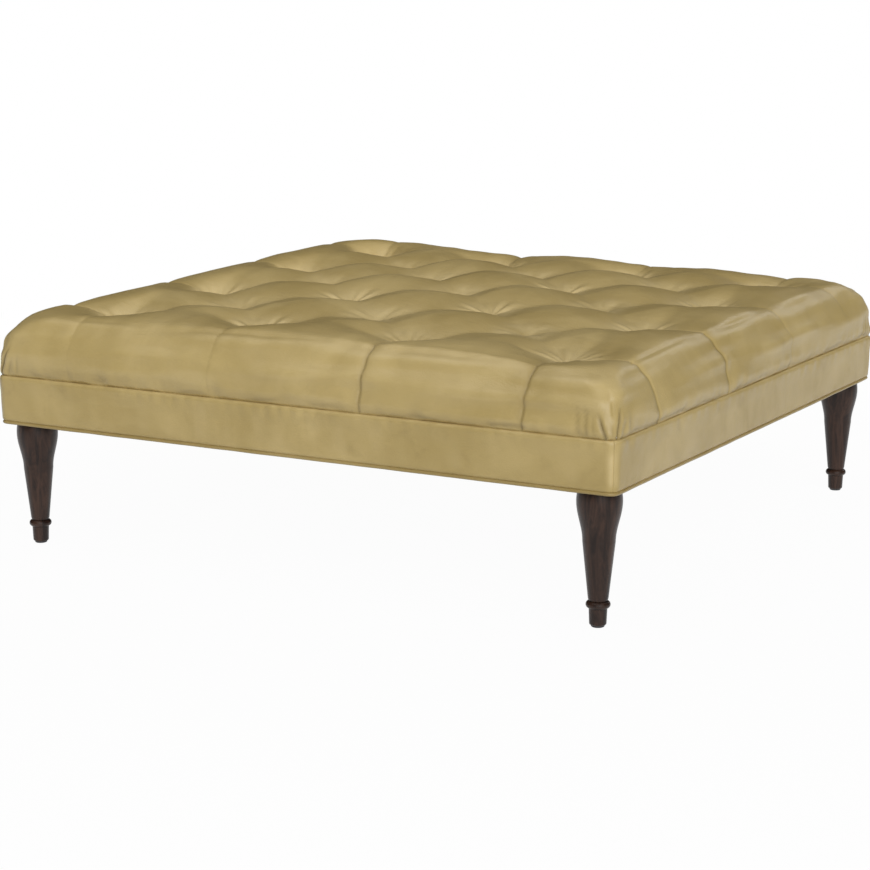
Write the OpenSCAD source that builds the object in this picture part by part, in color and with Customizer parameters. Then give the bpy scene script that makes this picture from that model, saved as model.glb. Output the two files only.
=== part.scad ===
// Square upholstered ottoman with a diamond tufted leather top, a leather band and four turned legs.
// Origin on the floor under the middle of the frame, +Z up, front face towards -Y.

/* [Overall] */
// Width across the leather band, left to right
ottoman_w = 1220; // [900:1:1500]
// Depth across the leather band, front to back
ottoman_d = 1220; // [900:1:1500]
// Plan radius of the band at its corners
band_corner_r = 16; // [12:0.5:40]

/* [Cushion] */
// Height of the crown above the deck board
cushion_h = 143.6; // [110:0.1:190]
// Rise of the crown from the border to the middle
crown_rise = 17; // [0:0.5:24]
// How far the cushion side stands out past the band
cushion_bulge = 6; // [2:0.5:12]
// Width of the rolled shoulder, seen in plan
shoulder_w = 55; // [40:1:75]
// Height of the rolled shoulder, down to the widest point
shoulder_h = 90; // [60:1:95]
// Plan radius of the cushion corners at the crest
crest_corner_r = 108; // [40:1:120]
// Plan radius of the cushion corners at the widest point
side_corner_r = 32; // [20:1:60]
// How far the crest falls away towards the corners
corner_fall = 14; // [0:1:40]

/* [Tufting] */
// Tufts in each main row, left to right
tufts_x = 4; // [3:1:5]
// Tufts in each main row, front to back
tufts_y = 4; // [3:1:5]
// Distance from the band face to the outer row of tufts
tuft_border = 161.5; // [140:0.5:190]
// Depth of the inner tufts
tuft_depth = 42; // [10:1:50]
// Depth of the tufts in the outer rows
edge_tuft_depth = 50; // [20:1:60]
// Depth of the soft folds halfway between two tufts
fold_depth = 13; // [4:0.5:20]
// Depth of the pleats that run from the outer tufts down the sides
pleat_depth = 3; // [1:0.5:6]
// Diameter of the holes drilled for the tufts in the foam and batting
tuft_hole_d = 20; // [12:1:30]
// Diameter of the hidden discs that hold the leather down
anchor_d = 17; // [8:0.5:19]
// Thickness of the hidden discs
anchor_t = 2; // [1:0.5:4]
// Diameter of the tufting twine
twine_d = 2.4; // [1.5:0.1:4]
// Diameter of the tie washers under the deck
tie_washer_d = 24; // [14:1:40]
// Thickness of the tie washers
tie_washer_t = 1.6; // [1:0.1:3]

/* [Leather and padding] */
// Thickness of the leather
leather_t = 1.4; // [0.8:0.1:2]
// Thickness of the batting over the foam
batting_t = 10; // [4:0.5:14]
// Thickness of the felt padding under the band
band_pad_t = 6.6; // [5:0.1:10]
// Thickness of the card tacking strip
tack_strip_t = 1.2; // [0.8:0.1:2]
// Height of the card tacking strip
tack_strip_h = 13; // [10:0.5:20]
// How far the rolled top edge of the band stands proud
roll_proud = 3; // [1:0.5:5]
// Height over which the band swells out to its rolled top edge
flare_h = 30; // [15:1:36]
// Seam between band and cushion, below the top of the deck
seam_drop = 1.6; // [0.5:0.1:5]
// How far the cushion leather runs down behind the band
cover_flange_h = 26.6; // [18:0.1:40]
// Width of the leather turned in under the frame
turn_under_w = 27; // [20:1:40]
// Diameter of the welt along the bottom edge
welt_d = 6; // [4:0.5:8]
// How far the welt stands proud of the band
welt_proud = 1; // [0:0.5:2]
// Width of the sewn tail of the welt
welt_tail_w = 18; // [12:1:24]
// Thickness of the dust cover cloth
dust_cover_t = 0.8; // [0.4:0.1:1.5]
// Gap between the dust cover and the band face
dust_cover_inset = 9; // [7:0.5:20]

/* [Frame] */
// Height of the rails
rail_h = 70; // [60:1:120]
// Thickness of the rails
rail_t = 19; // [16:0.5:20]
// Thickness of the plywood deck
deck_t = 12; // [9:0.5:18]
// Thickness of the cross rails
cross_rail_t = 19; // [16:0.5:30]
// Height of the cross rails
cross_rail_h = 55; // [40:1:60]
// Length of a corner block along each rail
block_leg = 95; // [80:1:120]
// Height of the corner blocks
block_h = 45; // [40:1:55]
// Diameter of the dowels in the rail corners
dowel_d = 8; // [6:0.5:10]
// Length of the dowels
dowel_l = 40; // [32:1:50]
// Diameter of the tuft holes in the deck
deck_hole_d = 8; // [5:0.5:12]

/* [Legs] */
// Length of a leg from its foot to its seat on the frame
leg_len = 226; // [160:1:260]
// Leg axis in from the band faces
leg_inset = 47; // [40:0.5:60]
// Diameter of the plain foot
foot_d = 30; // [26:0.5:36]
// Height of the plain foot under the ring
foot_h = 28; // [20:1:50]
// Diameter of the turned ring above the foot
ring_d = 40; // [36:0.5:50]
// Thickness of the turned ring
ring_t = 12; // [8:0.5:16]
// Diameter where the taper starts above the ring
ankle_d = 33; // [26:0.5:36]
// Diameter where the taper ends under the bulb
knee_d = 53; // [44:0.5:60]
// Length of the curved stretch from the taper to the widest point
knee_l = 66; // [40:1:70]
// Largest diameter of the bulb
bulb_d = 74; // [66:0.5:78]
// Widest point of the bulb, below the seat
bulb_drop = 23; // [15:1:30]
// Diameter of the seat at the top of the leg
leg_top_d = 67; // [50:0.5:68]
// Diameter of the nail glide under the foot
glide_d = 22; // [16:0.5:24]
// Height of the nail glide
glide_h = 3; // [2:0.5:6]

/* [Fasteners] */
// Diameter of the hanger bolts
bolt_d = 8; // [6:0.5:10]
// Length of a hanger bolt inside the leg
bolt_in_leg = 40; // [25:1:60]
// Diameter of the tee nut barrel
tee_barrel_d = 10; // [9:0.5:12]
// Diameter of the tee nut flange
tee_flange_d = 21; // [16:0.5:24]
// Length of the tee nut barrel
tee_barrel_l = 12; // [8:0.5:16]
// Thickness of the tee nut flange
tee_flange_t = 1.6; // [1:0.1:3]
// Diameter of the wood screws
screw_d = 4; // [3:0.1:5]
// Diameter of the screw heads
screw_head_d = 8; // [6.5:0.1:9]
// Length of the wood screws
screw_l = 36; // [28:1:45]
// Gap around pins, bolts and screws in their holes
fit_gap = 0.05; // [0.02:0.01:0.2]

/* [Hidden] */

LEATHER = [0.66, 0.58, 0.39];
LEATHER_BAND = [0.64, 0.56, 0.37];
LEATHER_WELT = [0.60, 0.52, 0.34];
LEG_WOOD = [0.24, 0.19, 0.17];
FRAME_WOOD = [0.80, 0.68, 0.50];
PLYWOOD = [0.76, 0.62, 0.43];
STEEL = [0.72, 0.73, 0.75];
FOAM = [0.95, 0.88, 0.62];
BATTING = [0.95, 0.95, 0.93];
FELT = [0.70, 0.70, 0.68];
CARD = [0.78, 0.72, 0.62];
CLOTH = [0.10, 0.10, 0.11];
CORD = [0.92, 0.90, 0.84];
PLASTIC = [0.15, 0.15, 0.16];

$fn = 64;
half_w = ottoman_w / 2;
half_d = ottoman_d / 2;
cut_over = 1;

// Heights, stacked up from the floor
seat_z = glide_h + leg_len;
welt_tail_z = seat_z + dust_cover_t;
band_turn_z = welt_tail_z + leather_t;
frame_z = band_turn_z + leather_t;
rail_top_z = frame_z + rail_h;
deck_z = rail_top_z + deck_t;
seam_z = deck_z - seam_drop;
crest_z = deck_z + cushion_h - crown_rise;
block_top_z = frame_z + block_h;

// Insets from the band face, measured inwards
frame_inset = leather_t + band_pad_t;
cover_inset = frame_inset - leather_t;
tail_inset = cover_inset - leather_t;
strip_inset = tail_inset - tack_strip_t;
rail_inner = frame_inset + rail_t;
corner_padding = 4;
frame_corner_r = band_corner_r - corner_padding;

// Tuft grid: four cells from one tuft to the next in a row
cells_x = 4 * (tufts_x - 1);
cells_y = 4 * (tufts_y - 1);
cell_w = (ottoman_w - 2 * tuft_border) / cells_x;
cell_d = (ottoman_d - 2 * tuft_border) / cells_y;
crest_inset = shoulder_w - cushion_bulge;
corner_steps = 3;
min_corner_r = 3;
border_steps = 2;
shoulder_steps = 3;
crest_ring = border_steps;
batting_ring = crest_ring + shoulder_steps;
seam_ring = batting_ring + 1;
flange_ring = seam_ring + 1;
ring_len = 2 * (cells_x + 1) + 2 * (cells_y + 1) + 4 * corner_steps;
cross_rail_x = 3 * cell_w;

function is_tuft(i, j) =
  (i % 4 == 0 && j % 4 == 0) || (i % 4 == 2 && j % 4 == 2);
function on_edge(i, j) =
  i == 0 || j == 0 || i == cells_x || j == cells_y;
function cell_x(i) = (i - cells_x / 2) * cell_w;
function cell_y(j) = (j - cells_y / 2) * cell_d;
function depth_at(i, j) =
  on_edge(i, j) ? edge_tuft_depth : tuft_depth;

// Every tuft as its two cell numbers
TUFTS = [
  for (i = [0 : 2 : cells_x], j = [0 : 2 : cells_y])
    if (is_tuft(i, j)) [i, j]
];

// Rise of the crown over a point of the plan, less the fall at the corners
function crown(x, y) =
  crown_rise * (1 - pow(x / half_w, 2)) * (1 - pow(y / half_d, 2))
  - corner_fall * pow(abs(x * y) / (half_w * half_d), 3);

// How far the tufting pulls the top down at a cell corner
side_share = 0.3;
function tuft_near(i, j) =
  [for (a = [-1 : 1], b = [-1 : 1])
    if (abs(a) + abs(b) == 1 && is_tuft(i + a, j + b)) depth_at(i + a, j + b)];
function dip(i, j) =
  is_tuft(i, j) ? depth_at(i, j)
  : (i % 2 == 1 && j % 2 == 1) ? fold_depth
  : (i % 2 == 0 && j % 2 == 0) ? 0
  : side_share * max(concat([0], tuft_near(i, j)));

function top_height(i, j) =
  crest_z + crown(cell_x(i), cell_y(j)) - dip(i, j);

// Cross section of the cushion edge as inset from the band face and height, ring by ring
shoulder_arc = 100;
function shoulder_turn(k) = (k - crest_ring) * shoulder_arc / shoulder_steps;
function edge_profile(k) =
  k == 0 ? [tuft_border, crest_z]
  : k < crest_ring ? [(tuft_border + crest_inset) / 2, crest_z]
  : k <= batting_ring ? [
      crest_inset - shoulder_w * sin(shoulder_turn(k)),
      crest_z - shoulder_h * (1 - cos(shoulder_turn(k)))
    ]
  : k == seam_ring ? [cover_inset, deck_z]
  : [cover_inset, deck_z - cover_flange_h];

// Outward direction of that cross section, as outwards and upwards parts
function edge_normal(k) =
  k < crest_ring ? [0, 1]
  : k >= seam_ring ? [1, 0]
  : let (
      run = edge_profile(k + 1) - edge_profile(k - 1),
      size = norm(run)
    ) [-run[1] / size, -run[0] / size];

crest_r = min(crest_corner_r, tuft_border - crest_inset);
function corner_radius(k) =
  k < crest_ring ? crest_r / crest_ring
  : k <= batting_ring ? crest_r + (side_corner_r - crest_r) * (k - crest_ring) / shoulder_steps
  : band_corner_r - cover_inset;

// How far a pleat and its neighbours draw a ring in
function pleat_dip(k) =
  k >= seam_ring ? 0 : edge_tuft_depth * pow(side_share, k) + pleat_depth;
function side_dip(k, m) =
  m % 4 == 0 ? pleat_dip(k) : m % 2 == 1 ? side_share * pleat_dip(k) : 0;
function corner_turn(k, n) =
  k >= seam_ring ? 45 * (n - 1) : 30 * n - 15;
function corner_dip(k) =
  k < crest_ring ? side_share * edge_tuft_depth : 0;

// Share of the crown that a ring still follows, fading down the shoulder
function crown_share(k) =
  max(0, min(1, (batting_ring - k) / shoulder_steps));

// One point of a ring, from its inset, outward shift and the layer depth
function ring_point(k, side, m, t) =
  let (
    n = edge_normal(k),
    count = side % 2 == 0 ? cells_y : cells_x,
    corner = m > count,
    sink = t + (corner ? corner_dip(k) : side_dip(k, m)),
    out = edge_profile(k)[0] + sink * n[0],
    hx = half_w - out,
    hy = half_d - out,
    r = max(min_corner_r, corner_radius(k) - t * n[0]),
    turn = 90 * side + corner_turn(k, m - count),
    x = side == 0 ? hx : side == 1 ? -cell_x(m) : side == 2 ? -hx : cell_x(m),
    y = side == 0 ? cell_y(m) : side == 1 ? hy : side == 2 ? -cell_y(m) : -hy,
    sx = side == 0 || side == 3 ? 1 : -1,
    sy = side <= 1 ? 1 : -1,
    px = corner ? sx * (hx - r) + r * cos(turn) : x,
    py = corner ? sy * (hy - r) + r * sin(turn) : y,
    lift = crown_share(k) * crown(px, py)
  ) [px, py, edge_profile(k)[1] - sink * n[1] + lift];

// All points of one layer: the top grid first, then the rings around it
function layer_points(rings, t) = concat(
  [for (j = [0 : cells_y], i = [0 : cells_x]) [cell_x(i), cell_y(j), top_height(i, j) - t]],
  [for (k = [1 : rings], side = [0 : 3],
        m = [0 : (side % 2 == 0 ? cells_y : cells_x) + corner_steps])
    ring_point(k, side, m, t)]
);
function grid_id(i, j) = j * (cells_x + 1) + i;
grid_size = (cells_x + 1) * (cells_y + 1);
function layer_size(rings) = grid_size + rings * ring_len;

// The grid corner that a ring position starts from, where corner positions share one
rim = concat(
  [for (m = [0 : cells_y + corner_steps]) grid_id(cells_x, min(m, cells_y))],
  [for (m = [0 : cells_x + corner_steps]) grid_id(cells_x - min(m, cells_x), cells_y)],
  [for (m = [0 : cells_y + corner_steps]) grid_id(0, cells_y - min(m, cells_y))],
  [for (m = [0 : cells_x + corner_steps]) grid_id(min(m, cells_x), 0)]
);
function ring_id(k, q) =
  k == 0 ? rim[q % ring_len] : grid_size + (k - 1) * ring_len + q % ring_len;

// Triangles of one layer, seen clockwise from outside
function layer_faces(rings) = concat(
  [for (j = [0 : cells_y - 1], i = [0 : cells_x - 1], half = [0 : 1])
    let (a = grid_id(i, j), b = grid_id(i + 1, j), c = grid_id(i + 1, j + 1), d = grid_id(i, j + 1))
      (i + j) % 2 == 0 ? (half == 0 ? [a, c, b] : [a, d, c])
      : (half == 0 ? [a, d, b] : [b, d, c])],
  [for (k = [0 : rings - 1], q = [0 : ring_len - 1], half = [0 : 1])
    let (a = ring_id(k, q), b = ring_id(k, q + 1), c = ring_id(k + 1, q + 1), d = ring_id(k + 1, q))
      if (half == 0 || a != b)
        half == 0 ? [a, c, d] : [a, b, c]]
);
function shifted(faces, by) = [for (f = faces) [f[2] + by, f[1] + by, f[0] + by]];

// A soft sheet between two depths under the outside of the cushion
module soft_shell(rings, outer_t, inner_t) {
  size = layer_size(rings);
  last = grid_size + (rings - 1) * ring_len;
  edge = [for (q = [0 : ring_len - 1], half = [0 : 1])
    let (a = last + q, b = last + (q + 1) % ring_len)
      half == 0 ? [a, b, b + size] : [a, b + size, a + size]];
  polyhedron(
    points = concat(layer_points(rings, outer_t), layer_points(rings, inner_t)),
    faces = concat(layer_faces(rings), shifted(layer_faces(rings), size), edge)
  );
}

// A soft solid under one depth, closed flat at the deck
module soft_core(rings, t) {
  size = layer_size(rings);
  last = grid_size + (rings - 1) * ring_len;
  base = [for (q = [0 : ring_len - 1]) [last + q, last + (q + 1) % ring_len, size]];
  polyhedron(
    points = concat(layer_points(rings, t), [[0, 0, deck_z]]),
    faces = concat(layer_faces(rings), base)
  );
}

// Places its children at every tuft, on the floor plane
module at_tufts() {
  for (c = TUFTS) {
    translate([cell_x(c[0]), cell_y(c[1]), 0]) children();
  }
}

hole_sides = 6;
module tuft_holes() {
  at_tufts() {
    translate([0, 0, deck_z - cut_over]) cylinder(d = tuft_hole_d, h = cushion_h, $fn = hole_sides);
  }
}

module foam_pad() {
  color(FOAM) difference() {
    soft_core(seam_ring, leather_t + batting_t);
    tuft_holes();
  }
}

module batting() {
  color(BATTING) difference() {
    soft_shell(batting_ring, leather_t, leather_t + batting_t);
    tuft_holes();
  }
}

module top_cover() {
  color(LEATHER) soft_shell(flange_ring, 0, leather_t);
}

// Underside of the leather at a tuft, where its disc sits
function disc_top(c) =
  top_height(c[0], c[1]) - leather_t - fit_gap;
washer_z = rail_top_z - tie_washer_t;
twine_tail = 6;
twine_sides = 16;

module tuft_anchors() {
  color(PLASTIC) for (c = TUFTS) {
    translate([cell_x(c[0]), cell_y(c[1]), disc_top(c) - anchor_t]) cylinder(d = anchor_d, h = anchor_t);
  }
}

module tuft_twines() {
  color(CORD) for (c = TUFTS) {
    translate([cell_x(c[0]), cell_y(c[1]), washer_z - twine_tail])
      cylinder(d = twine_d, h = disc_top(c) - anchor_t - washer_z + twine_tail, $fn = twine_sides);
  }
}

module tie_washers() {
  color(STEEL) at_tufts() {
    translate([0, 0, washer_z]) difference() {
      cylinder(d = tie_washer_d, h = tie_washer_t);
      translate([0, 0, -cut_over]) cylinder(d = twine_d + 2 * fit_gap, h = tie_washer_t + 2 * cut_over);
    }
  }
}

// Plan of the frame with its rounded corners, at a given inset and radius
module rounded_plan(inset, r) {
  x = half_w - inset;
  y = half_d - inset;
  square([2 * x, 2 * (y - r)], center = true);
  square([2 * (x - r), 2 * y], center = true);
  for (sx = [-1, 1], sy = [-1, 1]) {
    translate([sx * (x - r), sy * (y - r)]) circle(r = r);
  }
}

// Screw stations along the rails and across the cross rails
rail_mid = frame_inset + rail_t / 2;
deck_screw_x = [for (i = [0 : 4 : cells_x]) cell_x(i)];
deck_screw_y = [for (j = [0 : 4 : cells_y]) cell_y(j)];
cross_screw_y = [for (j = [-1 : 1]) j * 4 * cell_d];
DECK_SCREWS = concat(
  [for (x = deck_screw_x, s = [-1, 1]) [x, s * (half_d - rail_mid)]],
  [for (y = deck_screw_y, s = [-1, 1]) [s * (half_w - rail_mid), y]],
  [for (y = cross_screw_y, s = [-1, 1]) [s * cross_rail_x, y]]
);
head_h = screw_head_d / 2;

// Countersunk wood screw with its head at the origin, pointing down
module wood_screw(grow = 0) {
  translate([0, 0, -head_h]) cylinder(d1 = screw_d + 2 * grow, d2 = screw_head_d + 2 * grow, h = head_h);
  translate([0, 0, -screw_l - 2 * grow]) cylinder(d = screw_d + 2 * grow, h = screw_l - head_h + 3 * grow);
}

module deck_screws() {
  color(STEEL) for (p = DECK_SCREWS) {
    translate([p[0], p[1], deck_z]) wood_screw();
  }
}

module deck_screw_holes() {
  for (p = DECK_SCREWS) {
    translate([p[0], p[1], deck_z]) wood_screw(fit_gap);
  }
}

module deck_board() {
  color(PLYWOOD) difference() {
    translate([0, 0, rail_top_z]) linear_extrude(deck_t) rounded_plan(frame_inset, frame_corner_r);
    deck_screw_holes();
    at_tufts() {
      translate([0, 0, rail_top_z - cut_over]) cylinder(d = deck_hole_d, h = deck_t + 2 * cut_over);
    }
  }
}

// Screws through the front and back rails into the ends of the cross rails
cross_screw_shares = [0.25, 0.65];
cross_screw_z = [for (share = cross_screw_shares) rail_top_z - cross_rail_h * (1 - share)];
module cross_screw_set(grow = 0) {
  for (sx = [-1, 1], sy = [-1, 1], z = cross_screw_z) {
    translate([sx * cross_rail_x, sy * (half_d - frame_inset), z])
      rotate([sy > 0 ? -90 : 90, 0, 0]) wood_screw(grow);
  }
}

module cross_rail_screws() {
  color(STEEL) cross_screw_set();
}

// Screws from the corner blocks into the rails, set in pockets on the slanted face
block_screw_share = 0.58;
block_screw_at = block_leg * block_screw_share;
block_screw_rise = 0.6;
block_screw_z = frame_z + block_h * block_screw_rise;
screw_end_gap = 4;
block_wood = screw_l - rail_t + screw_end_gap;
module block_screw_set(grow = 0) {
  for (sx = [-1, 1], sy = [-1, 1]) {
    translate([
      sx * (half_w - rail_inner - block_wood),
      sy * (half_d - rail_inner - block_screw_at),
      block_screw_z
    ]) rotate([0, -sx * 90, 0]) wood_screw(grow);
    translate([
      sx * (half_w - rail_inner - block_screw_at),
      sy * (half_d - rail_inner - block_wood),
      block_screw_z - 2 * screw_head_d
    ]) rotate([sy * 90, 0, 0]) wood_screw(grow);
  }
}

module corner_block_screws() {
  color(STEEL) block_screw_set();
}

// Dowels from the front and back rails into the ends of the side rails
dowel_shares = [0.25, 0.6];
dowel_z = [for (share = dowel_shares) frame_z + rail_h * share];
dowel_cover = 5;
dowel_in_rail = rail_t - dowel_cover;
module dowel_set(grow = 0) {
  for (sx = [-1, 1], sy = [-1, 1], z = dowel_z) {
    translate([sx * (half_w - rail_mid), sy * (half_d - rail_inner + dowel_in_rail + grow), z])
      rotate([sy * 90, 0, 0]) cylinder(d = dowel_d + 2 * grow, h = dowel_l + 2 * grow);
  }
}

module rail_dowels() {
  color(FRAME_WOOD) dowel_set();
}

module rail_holes() {
  deck_screw_holes();
  cross_screw_set(fit_gap);
  block_screw_set(fit_gap);
  dowel_set(fit_gap);
}

// Front or back rail, full width with the two rounded frame corners
module long_rail(side) {
  color(FRAME_WOOD) difference() {
    intersection() {
      translate([0, 0, frame_z]) linear_extrude(rail_h) rounded_plan(frame_inset, frame_corner_r);
      translate([0, side * (half_d - rail_mid), frame_z + rail_h / 2])
        cube([2 * half_w, rail_t, rail_h], center = true);
    }
    rail_holes();
  }
}

// Left or right rail, set between the front and back rails
module short_rail(side) {
  color(FRAME_WOOD) difference() {
    translate([side * (half_w - rail_mid), 0, frame_z + rail_h / 2])
      cube([rail_t, 2 * (half_d - rail_inner), rail_h], center = true);
    rail_holes();
  }
}

module cross_rail(side) {
  color(FRAME_WOOD) difference() {
    translate([side * cross_rail_x, 0, rail_top_z - cross_rail_h / 2])
      cube([cross_rail_t, 2 * (half_d - rail_inner), cross_rail_h], center = true);
    deck_screw_holes();
    cross_screw_set(fit_gap);
  }
}

// Places its children on one leg axis, with sx and sy of -1 or 1
module at_leg(sx, sy) {
  translate([sx * (half_w - leg_inset), sy * (half_d - leg_inset), 0]) children();
}

hole_clearance = 1;
module corner_block(sx, sy) {
  x = half_w - rail_inner;
  y = half_d - rail_inner;
  pocket_l = block_leg;
  color(FRAME_WOOD) difference() {
    translate([0, 0, frame_z]) linear_extrude(block_h) polygon([
      [sx * x, sy * y],
      [sx * (x - block_leg), sy * y],
      [sx * x, sy * (y - block_leg)]
    ]);
    at_leg(sx, sy) {
      translate([0, 0, frame_z - cut_over])
        cylinder(d = bolt_d + hole_clearance, h = block_h + 2 * cut_over);
      translate([0, 0, block_top_z - tee_barrel_l - fit_gap])
        cylinder(d = tee_barrel_d + 2 * fit_gap, h = tee_barrel_l + cut_over);
    }
    block_screw_set(fit_gap);
    translate([sx * (x - block_wood), sy * (y - block_screw_at), block_screw_z])
      rotate([0, -sx * 90, 0]) cylinder(d = screw_head_d + hole_clearance, h = pocket_l);
    translate([sx * (x - block_screw_at), sy * (y - block_wood), block_screw_z - 2 * screw_head_d])
      rotate([sy * 90, 0, 0]) cylinder(d = screw_head_d + hole_clearance, h = pocket_l);
  }
}

module tee_nuts() {
  color(STEEL) for (sx = [-1, 1], sy = [-1, 1]) {
    at_leg(sx, sy) difference() {
      union() {
        translate([0, 0, block_top_z]) cylinder(d = tee_flange_d, h = tee_flange_t);
        translate([0, 0, block_top_z - tee_barrel_l]) cylinder(d = tee_barrel_d, h = tee_barrel_l);
      }
      translate([0, 0, block_top_z - tee_barrel_l - cut_over])
        cylinder(d = bolt_d + 2 * fit_gap, h = tee_barrel_l + tee_flange_t + 2 * cut_over);
    }
  }
}

bolt_over = 2;
bolt_point_h = 3;
bolt_edge = 1;
bolt_z = seat_z - bolt_in_leg;
bolt_end_z = block_top_z + tee_flange_t + bolt_over;
module hanger_bolts() {
  color(STEEL) for (sx = [-1, 1], sy = [-1, 1]) {
    at_leg(sx, sy) {
      translate([0, 0, bolt_z + bolt_point_h])
        cylinder(d = bolt_d, h = bolt_end_z - bolt_z - bolt_point_h - bolt_edge);
      translate([0, 0, bolt_z]) cylinder(d1 = bolt_d / 2, d2 = bolt_d, h = bolt_point_h);
      translate([0, 0, bolt_end_z - bolt_edge])
        cylinder(d1 = bolt_d, d2 = bolt_d - 2 * bolt_edge, h = bolt_edge);
    }
  }
}

// Turned profile of a leg, from the foot up, as radius and height above the foot
ankle_ease = 2;
ring_r = ring_t / 2;
ring_z = foot_h + ring_r;
taper_z = foot_h + ring_t + ankle_ease;
bulb_z = leg_len - bulb_drop;
knee_z = bulb_z - knee_l;
foot_round = 3;
foot_flare = 1;
curve_steps = 12;
neck_steps = 6;
leg_profile = concat(
  [[0, 0]],
  [for (a = [-90 : 30 : 0])
    [foot_d / 2 - foot_flare - foot_round * (1 - cos(a)), foot_round * (1 + sin(a))]],
  [[foot_d / 2, foot_h]],
  [for (a = [-90 : 15 : 90]) [ring_d / 2 - ring_r + ring_r * cos(a), ring_z + ring_r * sin(a)]],
  [[(ankle_d - ankle_ease) / 2, taper_z - ankle_ease / 2], [ankle_d / 2, taper_z + ankle_ease]],
  [for (s = [0 : curve_steps]) let (t = s / curve_steps)
    [(knee_d + (bulb_d - knee_d) * (1 - cos(180 * t)) / 2) / 2, knee_z + knee_l * t]],
  [for (s = [1 : neck_steps]) let (t = s / neck_steps)
    [(bulb_d - (bulb_d - leg_top_d) * t * t) / 2, bulb_z + bulb_drop * t]],
  [[0, leg_len]]
);

nail_d = 2.5;
nail_l = 16;
module turned_leg(sx, sy) {
  color(LEG_WOOD) at_leg(sx, sy) translate([0, 0, glide_h]) difference() {
    rotate_extrude() polygon(leg_profile);
    translate([0, 0, leg_len - bolt_in_leg - fit_gap])
      cylinder(d = bolt_d + 2 * fit_gap, h = bolt_in_leg + cut_over);
    translate([0, 0, -cut_over]) cylinder(d = nail_d + 2 * fit_gap, h = nail_l + cut_over + fit_gap);
  }
}

glide_edge = 1;
module foot_glides() {
  color(PLASTIC) for (sx = [-1, 1], sy = [-1, 1]) {
    at_leg(sx, sy) {
      cylinder(d1 = glide_d - 2 * glide_edge, d2 = glide_d, h = glide_edge);
      translate([0, 0, glide_edge]) cylinder(d = glide_d, h = glide_h - glide_edge);
      translate([0, 0, glide_h]) cylinder(d = nail_d, h = nail_l);
    }
  }
}

// Outline of a sheet of thickness t bent along a path of points
function path_normal(p, i) =
  let (
    a = p[max(0, i - 1)],
    b = p[i],
    c = p[min(len(p) - 1, i + 1)],
    u = (i == 0 ? c - b : b - a) / norm(i == 0 ? c - b : b - a),
    v = (i == len(p) - 1 ? b - a : c - b) / norm(i == len(p) - 1 ? b - a : c - b),
    m = [-(u[1] + v[1]), u[0] + v[0]]
  ) m / (1 + u * v);
function bent_sheet(p, t) = concat(
  [for (i = [0 : len(p) - 1]) p[i] + path_normal(p, i) * t / 2],
  [for (i = [len(p) - 1 : -1 : 0]) p[i] - path_normal(p, i) * t / 2]
);

// Middle line of the band leather: tail behind the card strip, over the roll, down the face, under
flare_steps = 5;
roll_r = (tail_inset + leather_t + roll_proud) / 2;
roll_x = roll_proud - roll_r;
roll_z = seam_z - roll_r;
roll_mid_r = roll_r - leather_t / 2;
band_mid = -leather_t / 2;
bend_r = 4;
bend_z = band_turn_z + leather_t / 2 + bend_r;
band_path = concat(
  [[roll_x - roll_mid_r, roll_z - tack_strip_h]],
  [for (a = [180 : -20 : 0]) [roll_x + roll_mid_r * cos(a), roll_z + roll_mid_r * sin(a)]],
  [for (s = [1 : flare_steps]) let (t = s / flare_steps)
    [band_mid + roll_proud * (1 + cos(180 * t)) / 2, roll_z - flare_h * t]],
  [for (a = [0 : -15 : -90]) [band_mid - bend_r + bend_r * cos(a), bend_z + bend_r * sin(a)]],
  [[-turn_under_w, band_turn_z + leather_t / 2]]
);

// Felt under the band leather, thinner behind the card strip
pad_low = frame_z + bend_r;
strip_gap = 0.3;
pad_top = roll_z - tack_strip_h - strip_gap;
pad_gap = 0.5;
pad_step = deck_z - cover_flange_h - pad_gap;
pad_section = [
  [-frame_inset, pad_low],
  [-leather_t, pad_low],
  [-leather_t, pad_top],
  [-strip_inset, pad_top],
  [-strip_inset, pad_step],
  [-frame_inset, pad_step]
];

// A straight run of a section along one side, with its two corners, mitred at 45 degrees
mitre_reach = 20;
module side_run(side, section_r) {
  along_x = side % 2 == 1;
  run = (along_x ? half_w : half_d) - section_r;
  face = along_x ? half_d : half_w;
  cut = 2 * turn_under_w;
  reach = section_r + mitre_reach;
  rotate([0, 0, 90 * side]) translate([face, 0, 0]) intersection() {
    union() {
      rotate([90, 0, 0]) linear_extrude(2 * run, center = true) children();
      for (s = [-1, 1]) {
        translate([-section_r, s * run, 0])
          rotate([0, 0, s > 0 ? 0 : -90]) rotate_extrude(angle = 90) intersection() {
            translate([section_r, 0]) children();
            square([reach, 2 * deck_z]);
          }
      }
    }
    linear_extrude(2 * deck_z) polygon([
      [reach, run + section_r + reach],
      [-cut, run + section_r - cut],
      [-cut, -run - section_r + cut],
      [reach, -run - section_r - reach]
    ]);
  }
}

module band(side) {
  color(LEATHER_BAND) side_run(side, band_corner_r) polygon(bent_sheet(band_path, leather_t));
}

module band_pad(side) {
  color(FELT) side_run(side, band_corner_r) polygon(pad_section);
}

// Card strip that turns the band leather over, stopping short of the corners
module tack_strip(side) {
  along_x = side % 2 == 1;
  face = (along_x ? half_d : half_w) - strip_inset - tack_strip_t / 2;
  run = 2 * ((along_x ? half_w : half_d) - band_corner_r);
  color(CARD) rotate([0, 0, 90 * side]) translate([face, 0, roll_z - tack_strip_h / 2])
    cube([tack_strip_t, run, tack_strip_h], center = true);
}

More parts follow.
